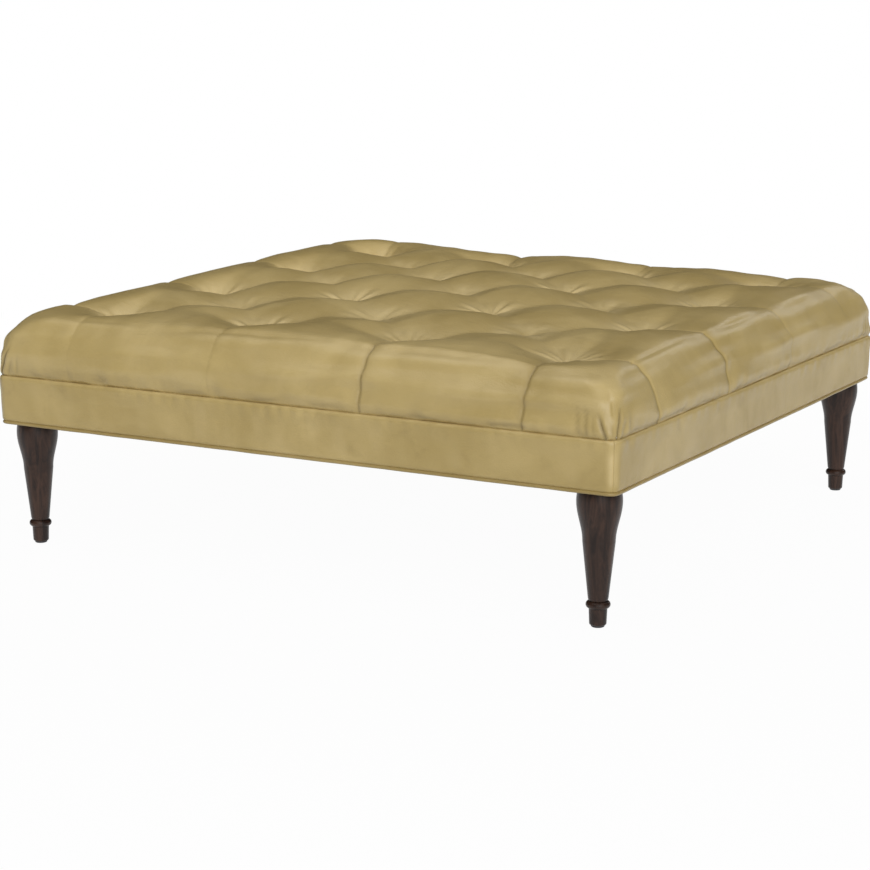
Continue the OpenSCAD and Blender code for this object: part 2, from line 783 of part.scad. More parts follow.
// A section carried all the way round under the band
module full_run(section_r) {
  for (sx = [-1, 1]) {
    translate([sx * half_w, 0, 0]) mirror([sx < 0 ? 1 : 0, 0, 0])
      rotate([90, 0, 0]) linear_extrude(2 * (half_d - section_r), center = true) children();
  }
  for (sy = [-1, 1]) {
    rotate([0, 0, 90 * sy]) translate([half_d, 0, 0])
      rotate([90, 0, 0]) linear_extrude(2 * (half_w - section_r), center = true) children();
  }
  for (q = [0 : 3]) {
    sx = q == 0 || q == 3 ? 1 : -1;
    sy = q <= 1 ? 1 : -1;
    translate([sx * (half_w - section_r), sy * (half_d - section_r), 0])
      rotate([0, 0, 90 * q]) rotate_extrude(angle = 90) intersection() {
        translate([section_r, 0]) children();
        square([2 * section_r, 2 * deck_z]);
      }
  }
}

welt_x = welt_proud - welt_d / 2;
welt_z = band_turn_z - welt_d / 2;
cord_d = welt_d - 2 * leather_t;
module welt_cord() {
  color(CORD) full_run(band_corner_r) translate([welt_x, welt_z]) circle(d = cord_d - 2 * fit_gap);
}

module welt_cover() {
  color(LEATHER_WELT) full_run(band_corner_r) difference() {
    union() {
      translate([welt_x, welt_z]) circle(d = welt_d);
      translate([welt_x - welt_tail_w, welt_tail_z]) square([welt_tail_w, leather_t]);
    }
    translate([welt_x, welt_z]) circle(d = cord_d);
  }
}

module dust_cover() {
  color(CLOTH) difference() {
    translate([0, 0, seat_z]) linear_extrude(dust_cover_t)
      rounded_plan(dust_cover_inset, frame_corner_r);
    for (sx = [-1, 1], sy = [-1, 1]) {
      at_leg(sx, sy) translate([0, 0, seat_z - cut_over])
        cylinder(d = bolt_d + 2 * hole_clearance, h = dust_cover_t + 2 * cut_over);
    }
  }
}

turned_leg(-1, -1);  // leg_front_left
turned_leg(1, -1);  // leg_front_right
turned_leg(-1, 1);  // leg_back_left
turned_leg(1, 1);  // leg_back_right
foot_glides();
hanger_bolts();
tee_nuts();
long_rail(-1);  // rail_front
long_rail(1);  // rail_back
short_rail(-1);  // rail_left
short_rail(1);  // rail_right
rail_dowels();
cross_rail(-1);  // cross_rail_left
cross_rail(1);  // cross_rail_right
cross_rail_screws();
corner_block(-1, -1);  // corner_block_front_left
corner_block(1, -1);  // corner_block_front_right
corner_block(-1, 1);  // corner_block_back_left
corner_block(1, 1);  // corner_block_back_right
corner_block_screws();
deck_board();
deck_screws();
foam_pad();
batting();
top_cover();
tuft_anchors();
tuft_twines();
tie_washers();
tack_strip(3);  // tack_strip_front
tack_strip(1);  // tack_strip_back
tack_strip(2);  // tack_strip_left
tack_strip(0);  // tack_strip_right
band_pad(3);  // band_pad_front
band_pad(1);  // band_pad_back
band_pad(2);  // band_pad_left
band_pad(0);  // band_pad_right
band(3);  // band_front
band(1);  // band_back
band(2);  // band_left
band(0);  // band_right
welt_cord();
welt_cover();
dust_cover();
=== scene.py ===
import math

import bmesh
import bpy
import numpy as np
from mathutils import Matrix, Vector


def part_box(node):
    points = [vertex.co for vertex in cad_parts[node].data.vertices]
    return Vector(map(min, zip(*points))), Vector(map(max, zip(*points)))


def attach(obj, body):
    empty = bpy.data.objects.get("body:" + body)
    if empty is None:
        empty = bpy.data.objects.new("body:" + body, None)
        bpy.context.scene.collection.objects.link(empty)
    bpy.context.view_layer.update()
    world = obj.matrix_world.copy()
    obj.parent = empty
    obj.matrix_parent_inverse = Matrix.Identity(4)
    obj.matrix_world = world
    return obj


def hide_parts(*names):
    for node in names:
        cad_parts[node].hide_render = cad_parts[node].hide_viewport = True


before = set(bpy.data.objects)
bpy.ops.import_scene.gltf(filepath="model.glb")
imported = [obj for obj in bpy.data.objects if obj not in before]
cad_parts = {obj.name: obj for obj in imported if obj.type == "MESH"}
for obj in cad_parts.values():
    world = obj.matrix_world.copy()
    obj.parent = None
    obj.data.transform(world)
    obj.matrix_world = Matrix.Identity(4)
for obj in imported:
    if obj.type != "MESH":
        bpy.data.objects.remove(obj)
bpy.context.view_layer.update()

# Sizes taken over from the CAD model, in metres
HALF = 0.610
TUFT_GAP = 0.1495
TUFT_EDGE = 3 * TUFT_GAP
TUFT_INSET = HALF - TUFT_EDGE
DECK_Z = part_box("deck_board")[1].z
SEAM_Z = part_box("band_front")[1].z
SEAT_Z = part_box("leg_front_left")[1].z
CUSHION_H = 0.1436
CROWN_RISE = 0.017
CORNER_FALL = 0.014
CREST_Z = DECK_Z + CUSHION_H - CROWN_RISE
CREST_INSET = 0.049
SHOULDER_W = 0.055
SHOULDER_H = 0.090
BAND_CORNER_R = 0.016
STRAIGHT = HALF - BAND_CORNER_R
LEATHER_T = 0.0014

SIDES = ["front", "right", "back", "left"]
CORNERS = ["front_left", "front_right", "back_left", "back_right"]


def add_object(name, data):
    """An object at the origin of the scene."""
    thing = bpy.data.objects.new(name, data)
    bpy.context.scene.collection.objects.link(thing)
    return thing


# Camera, where the photograph was taken from

CAMERA_AT = (2.0153, -3.6838, 1.0059)
CAMERA_LENS = 92.49
CAMERA_YAW = 0.5110
CAMERA_PITCH = 0.1997
CAMERA_SENSOR = 36

camera_data = bpy.data.cameras.new("camera")
camera_data.sensor_width = CAMERA_SENSOR
camera_data.lens = CAMERA_LENS
camera = add_object("camera", camera_data)
camera.location = CAMERA_AT
camera.rotation_euler = (math.pi / 2 - CAMERA_PITCH, 0, CAMERA_YAW)
bpy.context.scene.camera = camera
bpy.context.scene.view_settings.view_transform = "Standard"


# Shader maths: arithmetic on a wrapped socket adds Math nodes

class Value:
    """A socket of a finish's nodes, or the result of arithmetic on such sockets."""

    def __init__(self, finish, socket):
        self.finish = finish
        self.socket = socket

    def math(self, operation, *operands):
        return self.finish.add("ShaderNodeMath", {"operation": operation}, dict(enumerate(operands)))

    def __add__(self, other):
        return self.math("ADD", self, other)

    def __sub__(self, other):
        return self.math("SUBTRACT", self, other)

    def __rsub__(self, other):
        return self.math("SUBTRACT", other, self)

    def __mul__(self, other):
        return self.math("MULTIPLY", self, other)

    __radd__ = __add__
    __rmul__ = __mul__

    def smooth(self, low, high):
        """0 below the low value and 1 above the high one, eased between them."""
        settings = {"interpolation_type": "SMOOTHSTEP", "clamp": True}
        return self.finish.add("ShaderNodeMapRange", settings, {0: self, 1: low, 2: high})


class Finish:
    """A procedural material for one of the ottoman's finishes."""

    def __init__(self, name, **shader_values):
        self.material = bpy.data.materials.new(name)
        self.material.use_nodes = True
        tree = self.material.node_tree
        tree.nodes.clear()
        self.nodes, self.links = tree.nodes, tree.links
        self.shader = self.nodes.new("ShaderNodeBsdfPrincipled")
        self.surface = self.nodes.new("ShaderNodeOutputMaterial").inputs["Surface"]
        self.links.new(self.shader.outputs[0], self.surface)
        self.finish(**shader_values)

    def feed(self, socket, value):
        """Links a Value to the socket, or sets a number or a colour on it."""
        if isinstance(value, Value):
            self.links.new(value.socket, socket)
        elif hasattr(value, "__len__") and len(value) == 3 and socket.type == "RGBA":
            socket.default_value = (*value, 1.0)
        else:
            socket.default_value = value

    def add(self, kind, settings=None, sockets=None, outlet=0):
        """A node's outlet, after its settings and the values or links of its sockets."""
        node = self.nodes.new(kind)
        for name, value in (settings or {}).items():
            setattr(node, name, value)
        for name, value in (sockets or {}).items():
            self.feed(node.inputs[name], value)
        return Value(self, node.outputs[outlet])

    def place(self, scale=(1, 1, 1), turn=(0, 0, 0)):
        """Object coordinates, stretched and turned."""
        coordinates = self.add("ShaderNodeTexCoord", outlet="Object")
        return self.add("ShaderNodeMapping", {}, {"Vector": coordinates, "Scale": scale, "Rotation": turn})

    def noise(self, where, scale, detail=3.0, roughness=0.5, distortion=0.0):
        return self.add("ShaderNodeTexNoise", {}, {
            "Vector": where, "Scale": scale, "Detail": detail,
            "Roughness": roughness, "Distortion": distortion,
        })

    def cells(self, where, scale, feature="F1"):
        sockets = {"Vector": where, "Scale": scale}
        return self.add("ShaderNodeTexVoronoi", {"feature": feature}, sockets, "Distance")

    def wave(self, where, scale, distortion, direction):
        sockets = {"Vector": where, "Scale": scale, "Distortion": distortion}
        return self.add("ShaderNodeTexWave", {"bands_direction": direction}, sockets, "Fac")

    def attribute(self, name):
        return self.add("ShaderNodeAttribute", {"attribute_name": name}, {}, "Fac")

    def blend(self, share, first, second):
        """The first colour where the share is 0 and the second where it is 1."""
        settings = {"data_type": "RGBA", "clamp_factor": True}
        return self.add("ShaderNodeMix", settings, {0: share, 6: first, 7: second}, 2)

    def bump(self, height, distance, strength=1.0, below=None):
        sockets = {"Height": height, "Distance": distance, "Strength": strength}
        if below is not None:
            sockets["Normal"] = below
        return self.add("ShaderNodeBump", {}, sockets)

    def finish(self, **shader_values):
        """Feeds the shader's sockets and returns the material."""
        for socket, value in shader_values.items():
            self.feed(self.shader.inputs[socket.replace("_", " ")], value)
        return self.material

    def patterned(self, pattern, dark, light, gloss, depth, strength):
        """The material where one pattern sets both the colour and the bump."""
        colour = self.blend(pattern, linear(*dark), linear(*light))
        return self.finish(Base_Color=colour, Roughness=gloss, Normal=self.bump(pattern, depth, strength))


def linear(red, green, blue):
    """A colour read off as 0 to 255, as the shader wants it."""
    parts = [c / 255 for c in (red, green, blue)]
    return tuple(c / 12.92 if c <= 0.04045 else ((c + 0.055) / 1.055) ** 2.4 for c in parts)


# Leather

LEATHER = linear(178, 155, 97)
LEATHER_LIGHT = linear(199, 176, 118)
# Paler leather for painted light: highlights in the hollows, sheen on the shoulder, light at the seam and the
# band's corners; partly paler stretched leather too
LEATHER_PAINTED_LIGHT_AND_STRETCH = linear(206, 184, 130)
# Darker leather: random darker patches, and painted shade on the welt
LEATHER_DARK_PATCH_AND_SHADE = linear(132, 110, 64)
# Painted shade in the creases
LEATHER_PAINTED_CREASE_SHADE = linear(92, 76, 42)


def leather_finish(name, painted_light_and_stretch=False, painted_crease_shading=False, painted_shade=0.0):
    """Waxed full-grain leather: mottled colour, pebbled grain, creases and a soft gloss; where asked, also
    painted shade, painted light and painted shade in the creases.
    """
    leather = Finish(name)
    where = leather.place()
    clouds = leather.noise(where, 4.5, 4.0, 0.55, 0.6)
    patches = leather.noise(where, 22.0, 4.0, 0.6, 0.4)
    pull = leather.noise(leather.place((9, 34, 20), (0, 0, 0.5)), 2.0, 5.0, 0.65, 1.2)
    colour = leather.blend(clouds.smooth(0.35, 0.72), LEATHER, LEATHER_LIGHT)
    colour = leather.blend(patches.smooth(0.5, 0.85) * 0.25, colour, LEATHER_DARK_PATCH_AND_SHADE)
    colour = leather.blend(pull.smooth(0.55, 0.8) * 0.25, colour, LEATHER_LIGHT)
    # Painted shade: the whole piece darker, for a part whose underside stands in shade
    if painted_shade:
        colour = leather.blend(painted_shade, colour, LEATHER_DARK_PATCH_AND_SHADE)
    # Painted light from the attribute: highlights, sheen and reflections, partly paler stretched leather
    if painted_light_and_stretch:
        painted_lightening = leather.attribute("painted_light_and_stretch") * (patches * 1.2 - 0.15)
        colour = leather.blend(painted_lightening, colour, LEATHER_PAINTED_LIGHT_AND_STRETCH)
    # Painted shade in the creases, from the attribute
    if painted_crease_shading:
        colour = leather.blend(leather.attribute("painted_crease_shade") * 0.65, colour, LEATHER_PAINTED_CREASE_SHADE)
    pebbles = leather.cells(where, 520.0, "SMOOTH_F1")
    pores = leather.cells(where, 1150.0)
    creases = leather.noise(where, 130.0, 5.0, 0.7, 1.5)
    grain = pebbles * -0.7 + pores * -0.25 + creases * 0.8
    surface = leather.bump(grain, 0.0006, 0.45)
    surface = leather.bump(pull, 0.0016, 0.45, surface)
    gloss = 0.24 + patches * 0.19 + creases * 0.10
    return leather.finish(Base_Color=colour, Roughness=gloss, Normal=surface)


top_leather = leather_finish("tufted_top_leather", painted_light_and_stretch=True, painted_crease_shading=True)
band_leather = leather_finish("band_leather", painted_light_and_stretch=True)
# The welt bead gets painted shade, as its lower half faces down into shade
welt_leather = leather_finish("welt_leather", painted_shade=0.4)


# Wood, metal and the hidden materials

def wood_finish(name, dark, light, ring_scale, stretch, gloss, shine=0.5):
    """Wood with long grain along the stretched axis, pores and a finish."""
    wood = Finish(name, Specular_IOR_Level=shine)
    where = wood.place(stretch)
    figure = wood.noise(where, ring_scale, 6.0, 0.6, 1.4)
    streaks = wood.noise(where, ring_scale * 7, 4.0, 0.7)
    pores = wood.noise(where, ring_scale * 30, 2.0, 0.5)
    colour = wood.blend(figure.smooth(0.32, 0.68), dark, light)
    colour = wood.blend(streaks.smooth(0.55, 0.8) * 0.5, colour, dark)
    surface = wood.bump(streaks * 0.6 + pores * 0.4, 0.0003, 0.35)
    return wood.finish(Base_Color=colour, Roughness=gloss + streaks * 0.12, Normal=surface)


ESPRESSO_DARK = linear(30, 20, 16)
ESPRESSO = linear(68, 48, 38)
POPLAR_DARK = linear(176, 142, 96)
POPLAR = linear(214, 188, 142)

leg_finish = wood_finish("espresso_leg_wood", ESPRESSO_DARK, ESPRESSO, 9.0, (6, 6, 1), gloss=0.28, shine=0.28)
long_rail_finish = wood_finish("poplar_along_x", POPLAR_DARK, POPLAR, 7.0, (0.6, 5, 5), gloss=0.62)
side_rail_finish = wood_finish("poplar_along_y", POPLAR_DARK, POPLAR, 7.0, (5, 0.6, 5), gloss=0.62)


def plywood_finish():
    """Pale veneer with darker plies at its edges."""
    plywood = Finish("deck_plywood")
    plies = plywood.wave(plywood.place((0, 0, 1)), 105.0, 0.0, "Z")
    figure = plywood.noise(plywood.place((1, 7, 7)), 4.0, 6.0, 0.6, 1.8)
    colour = plywood.blend(figure.smooth(0.3, 0.7), linear(190, 152, 104), linear(222, 192, 148))
    colour = plywood.blend(plies.smooth(0.55, 0.75) * 0.5, colour, linear(140, 104, 68))
    return plywood.finish(Base_Color=colour, Roughness=0.6 + figure * 0.15,
                          Normal=plywood.bump(figure, 0.0003, 0.4))


def steel_finish():
    """Zinc plated steel with fine scratches."""
    steel = Finish("zinc_plated_steel", Metallic=1.0)
    scratches = steel.noise(steel.place((40, 40, 400)), 6.0, 4.0, 0.6)
    gloss = 0.28 + scratches * 0.2
    return steel.patterned(scratches, (150, 153, 158), (196, 198, 202), gloss, 0.0001, 0.3)


def foam_finish():
    """Yellowish foam with open pores."""
    foam = Finish("seat_foam")
    pores = foam.cells(foam.place(), 420.0)
    return foam.patterned(pores, (226, 205, 140), (243, 230, 180), 0.95, 0.0012, 0.7)


def fibre_finish(name, dark, light, scale):
    """Loose felted fibres, for batting and felt."""
    fibre = Finish(name)
    tangle = fibre.noise(fibre.place(), scale, 6.0, 0.75, 2.5)
    colour = fibre.blend(tangle.smooth(0.3, 0.7), dark, light)
    return fibre.finish(Base_Color=colour, Roughness=0.97, Normal=fibre.bump(tangle, 0.0015, 0.6))


def woven_finish(name, dark, light, threads):
    """Plain weave with its threads along X and Y."""
    cloth = Finish(name)
    where = cloth.place()
    warp = cloth.wave(where, threads, 0.4, "X")
    weft = cloth.wave(where, threads, 0.4, "Y")
    weave = warp * weft
    slubs = cloth.noise(where, 60.0, 4.0, 0.6)
    colour = cloth.blend(weave * 0.7 + slubs * 0.3, dark, light)
    return cloth.finish(Base_Color=colour, Roughness=0.9, Normal=cloth.bump(weave + slubs * 0.4, 0.0004, 0.5))


def card_finish():
    """Brown card with short fibres."""
    card = Finish("tacking_card")
    fibres = card.noise(card.place((1, 1, 3)), 160.0, 4.0, 0.6)
    return card.patterned(fibres, (170, 142, 104), (198, 172, 134), 0.88, 0.0002, 0.4)


def twine_finish():
    """Twisted undyed twine."""
    twine = Finish("tufting_twine")
    strands = twine.wave(twine.place((1, 1, 1), (0.6, 0.5, 0)), 420.0, 1.0, "Z")
    return twine.patterned(strands, (176, 164, 136), (226, 217, 194), 0.8, 0.0004, 0.8)


def plastic_finish():
    """Dull black nylon."""
    plastic = Finish("black_nylon")
    speckle = plastic.noise(plastic.place(), 900.0, 3.0, 0.6)
    return plastic.patterned(speckle, (26, 26, 28), (44, 44, 47), 0.45 + speckle * 0.12, 0.0001, 0.5)


plywood = plywood_finish()
steel = steel_finish()
foam = foam_finish()
batting = fibre_finish("polyester_batting", linear(214, 213, 208), linear(240, 240, 236), 240.0)
felt = fibre_finish("band_felt", linear(138, 137, 133), linear(178, 177, 172), 420.0)
dust_cloth = woven_finish("black_dust_cloth", linear(16, 16, 18), linear(40, 40, 44), 320.0)
card = card_finish()
twine = twine_finish()
nylon = plastic_finish()


# Carried-over CAD nodes get these finishes

NODE_FINISHES = [
    (leg_finish, ["leg_" + corner for corner in CORNERS]),
    (long_rail_finish, ["rail_front", "rail_back", "rail_dowels"]),
    (side_rail_finish, ["rail_left", "rail_right", "cross_rail_left", "cross_rail_right"]),
    (long_rail_finish, ["corner_block_" + corner for corner in CORNERS]),
    (plywood, ["deck_board"]),
    (steel, ["hanger_bolts", "tee_nuts", "cross_rail_screws", "corner_block_screws",
             "deck_screws", "tie_washers"]),
    (nylon, ["foot_glides", "tuft_anchors"]),
    (twine, ["tuft_twines"]),
    (card, ["tack_strip_" + side for side in SIDES]),
]


def finish_nodes():
    for finish, names in NODE_FINISHES:
        for name in names:
            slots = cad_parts[name].data.materials
            slots.clear()
            slots.append(finish)


# Shapes

def smoothstep(low, high, x):
    """0 at the low value and 1 at the high one, eased between them; the low one may be the larger."""
    t = np.clip((x - low) / (high - low), 0, 1)
    return t * t * (3 - 2 * t)


FULL_TURN = 2 * math.pi
RIPPLE_WAVES = 7


def ripple(x, y, length, seed):
    """Soft irregular waves of about that length, mostly between -1 and 1, the same in each run."""
    draw = np.random.RandomState(seed)
    total = np.zeros_like(x)
    for _ in range(RIPPLE_WAVES):
        turn = draw.uniform(0, FULL_TURN)
        number = FULL_TURN / (length * draw.uniform(0.7, 1.5))
        total += np.sin(number * (x * math.cos(turn) + y * math.sin(turn)) + draw.uniform(0, FULL_TURN))
    return total / (RIPPLE_WAVES / 2)


def coordinates(mesh):
    places = np.zeros(len(mesh.vertices) * 3)
    mesh.vertices.foreach_get("co", places)
    return places.reshape(-1, 3)


def move_points(mesh, places):
    mesh.vertices.foreach_set("co", np.asarray(places, float).ravel())
    mesh.update()


def float_attribute(mesh, name, values):
    attribute = mesh.attributes.new(name, "FLOAT", "POINT")
    attribute.data.foreach_set("value", np.asarray(values, np.float32))


def smooth_shading(mesh, smooth=True):
    mesh.polygons.foreach_set("use_smooth", [smooth] * len(mesh.polygons))


def finished_mesh(name, bm):
    mesh = bpy.data.meshes.new(name)
    bm.to_mesh(mesh)
    bm.free()
    return mesh


def flat_grid(name, columns, rows):
    """A flat grid one metre square about the origin, as the cloth before it is shaped."""
    bm = bmesh.new()
    bmesh.ops.create_grid(bm, x_segments=columns, y_segments=rows, size=0.5)
    return finished_mesh(name, bm)


def add_piece(name, mesh, finish, slot, *stands_for):
    """A new piece of the fixed body, with its finish, in place of the CAD nodes named; the slot is not used.
    """
    piece = add_object(name, mesh)
    mesh.materials.append(finish)
    smooth_shading(mesh)
    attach(piece, "root")
    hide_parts(*stands_for)
    return piece


def round_off(piece):
    modifier = piece.modifiers.new("rounding", "SUBSURF")
    modifier.levels = modifier.render_levels = 1


def thicken(piece, thickness, offset=-1.0):
    """Gives a skin its thickness, inwards, or to both sides where the offset is 0."""
    modifier = piece.modifiers.new("thickness", "SOLIDIFY")
    modifier.thickness = thickness
    modifier.offset = offset


# Edge of the cushion, as a line from the outer tufts over the shoulder and down behind the band

def line_run(line):
    """How far along a line each of its points lies."""
    return np.concatenate([[0], np.cumsum(np.linalg.norm(np.diff(line, axis=0), axis=1))])


SHOULDER_STEPS = 26
SHOULDER_TURN = np.radians(np.linspace(0, 100, SHOULDER_STEPS))
FLANGE_H = 0.014

# Inset from the band's face and height above the seam, from the side's foot to the hidden flange
SEAM_LINE = [
    (-0.0044, 0.010), (-0.0034, 0.004), (-0.0010, 0.0008), (0.0040, -0.0002),
    (0.0066, -0.004), (0.0066, -0.004 - FLANGE_H),
]

# Inset, and height above the crest, negative below it
EDGE_LINE = np.array(
    [[TUFT_INSET, 0.0]]
    + [[CREST_INSET - SHOULDER_W * math.sin(a), -SHOULDER_H * (1 - math.cos(a))] for a in SHOULDER_TURN]
    + [[inset, SEAM_Z + rise - CREST_Z] for inset, rise in SEAM_LINE]
)
EDGE_RUN = line_run(EDGE_LINE)
EDGE_INSET, EDGE_HEIGHT = EDGE_LINE.T
EDGE_END = EDGE_RUN[-1]
SEAM_RUN = EDGE_RUN[-3]
SHOULDER_END = EDGE_RUN[SHOULDER_STEPS]
BORDER = TUFT_INSET - CREST_INSET

# Distances beyond the outer tufts between which the shoulder falls, and the side begins
SHOULDER_FALL = (BORDER, SHOULDER_END - 0.04)
SIDE_START = (SHOULDER_END - 0.02, SHOULDER_END + 0.02)


# Tufts, by their number of gaps from the middle: four rows of four and three rows of three between them

TUFT_ROWS = [(-3, -1, 1, 3), (-2, 0, 2)]
OUTER_ROW = 3
TUFTS = sorted((m, n) for rows in TUFT_ROWS for m in rows for n in rows)
INNER_DEPTH = 0.042
OUTER_DEPTH = 0.050
DIMPLE_R = 0.056
DIMPLE_POWER = 1.4
HELD_R = 0.010
FREE_R = 0.075

# Folds between the tufts, and the round of the puffs
FOLD_DEPTH = 0.013
PUFF_ROUND = 0.90
BORDER_ROUND = 0.68
FOLD_SOFT = 0.075

# What changes over the border, as distances beyond the outer tufts and the value at each
CORNER_RADII = ([0, BORDER, 0.165, SHOULDER_END, EDGE_END], [0.0, 0.108, 0.056, 0.032, 0.0094])
PLEAT_SPREAD = ([0, 0.05, BORDER, 0.16, EDGE_END], [1.0, 0.60, 0.22, 0.12, 0.08])
PLEAT_ROUND = ([0, 0.08], [PUFF_ROUND, BORDER_ROUND])
PLEAT_POWER = ([0, 0.05], [2, 1])
PLEAT_DEPTH = ([0, 0.04, BORDER, 0.16, 0.22, EDGE_END], [FOLD_DEPTH, 0.011, 0.0055, 0.003, 0.0015, 0.0015])
CORNER_ROLL = ([0, 0.05, 0.085, BORDER, 0.14, 0.18], [0, 0.0015, 0.0, -0.003, -0.0035, 0])
SIDE_ROLL = ([0, 0.04, 0.07, 0.10, 0.125, 0.15, 0.18, 0.21],
             [0, 0.003, -0.001, -0.009, -0.014, -0.0125, -0.006, 0])

# Run from a corner, over which its roll turns into that of the side
CORNER_TO_SIDE = (0.03, 0.20)

# How crisp each pleat is, along the front, right, back and left sides
PLEATS = {
    -1: [0.0, 0.1, 0.8, 0.65],
    2: [0.75, 0.8, 0.15, 0.0],
    3: [0.1, 0.8, 0.2, 0.3],
    -2: [0.6, 0.3, 0.2, 0.1],
}
PLEAT_SHARE = 0.7
PLEAT_LAP = 0.0030
PLEAT_LIP_W = 0.0022
PLEAT_BACK_W = 0.006

# Distances beyond the outer tufts, over which the crisp pleats begin, the others fade and all ease in
PLEATS_CRISP = (0.03, 0.08)
PLEATS_FADE = (0.02, 0.09)
PLEATS_EASE = (0, 0.04)

# Where the hand-stuffed top stands higher or lower: x, y, rise and spread
UNEVEN = [
    (-0.54, 0.45, 0.017, 0.16), (0.46, 0.52, -0.004, 0.30), (-0.54, -0.25, -0.004, 0.30),
    (-0.33, -0.60, -0.007, 0.22), (0.08, 0.58, -0.003, 0.26), (0.30, 0.05, -0.003, 0.40),
    (0.47, -0.47, -0.015, 0.30), (0.0, -0.50, -0.009, 0.32), (0.52, 0.0, -0.010, 0.30),
    (-0.42, 0.57, 0.010, 0.12), (0.25, 0.57, -0.005, 0.10), (-0.25, 0.57, -0.004, 0.09),
    (-0.57, 0.12, 0.007, 0.20), (0.12, 0.58, 0.004, 0.10),
]

# Lumps of the stuffing all over: rise, length and seed
LUMPS = [(0.0020, 0.32, 3), (0.0007, 0.075, 4)]

# Small folds round each tuft, by how many go round it, and where they begin and end
WRINKLE_COUNTS = (7, 11, 14)
WRINKLE_START = (0.008, 0.022)
WRINKLE_END = (0.030, 0.078)
WRINKLE_H = 0.0010
WRINKLE_SEED = 17

# Long soft waves of the shoulder, stretched along the side, each side with its own
STREAK_RISE = 0.0017
STREAK_W = 0.045
STREAK_ALONG = 0.2
STREAK_START = (0.08, 0.13)
STREAK_FOOT = (0.030, 0.004)
SIDE_APART = 3

# The leather just above the seam: where its swell and gathers are full and where they end
SWELL_AT_CORNER = 0.0012
SWELL_ALONG_SIDE = 0.0028
SWELL_FROM_CORNER = (0.02, 0.12)
SWELL_TOP = (0.09, 0.045)
SWELL_FOOT = (0.026, 0.003)
GATHER_H = 0.0016
GATHER_TOP = (0.040, 0.010)
GATHER_FOOT = (0.006, 0.0)
GATHERS = [(0.35, 0.024, 11), (1.0, 0.055, 12)]

# The level crease there, with the length and seed of its waves and of its breaks
CREASE_DEPTH = 0.0022
CREASE_W = 0.0026
CREASE_ABOVE_SEAM = 0.0100
CREASE_WAVER = 0.003
CREASE_WAVES = (0.09, 13)
CREASE_BREAKS = (0.16, 14)

# Folds gathered into a bottom corner: foot past the corner, lean, width, depth, lowest and highest point
CORNER_FOLDS = [
    (-0.0105, -0.40, 0.0025, 0.0046, 0.000, 0.050), (0.0040, 0.36, 0.0025, 0.0046, 0.000, 0.066),
    (-0.0030, 0.0, 0.0026, 0.0010, 0.008, 0.040), (0.0200, 0.45, 0.0030, 0.0014, 0.008, 0.046),
    (-0.0610, -0.05, 0.0035, 0.0013, 0.012, 0.070), (-0.0470, -0.05, 0.0030, 0.0018, 0.010, 0.068),
    (-0.0340, -0.10, 0.0026, 0.0011, 0.014, 0.050), (0.0450, 0.10, 0.0035, 0.0012, 0.010, 0.056),
]
CORNER_FOLD_END = 0.004
CORNER_FOLD_POWER = 1.6
# Depth of a corner fold at which its painted shade is full
DEEP_FOLD = 0.0038


def crown(x, y):
    """Rise of the top towards its middle, less the fall towards its corners."""
    rise = CROWN_RISE * (1 - (x / HALF) ** 2) * (1 - (y / HALF) ** 2)
    return rise - CORNER_FALL * (np.abs(x * y) / HALF ** 2) ** 3


def puff(share, fullness):
    """Cross section of a puff from its fold, 0, to its middle, 1; a low fullness makes it boxier."""
    share = np.hypot(np.clip(share, 0, 1), FOLD_SOFT) - FOLD_SOFT
    return (1 - (1 - share) ** 2) ** fullness


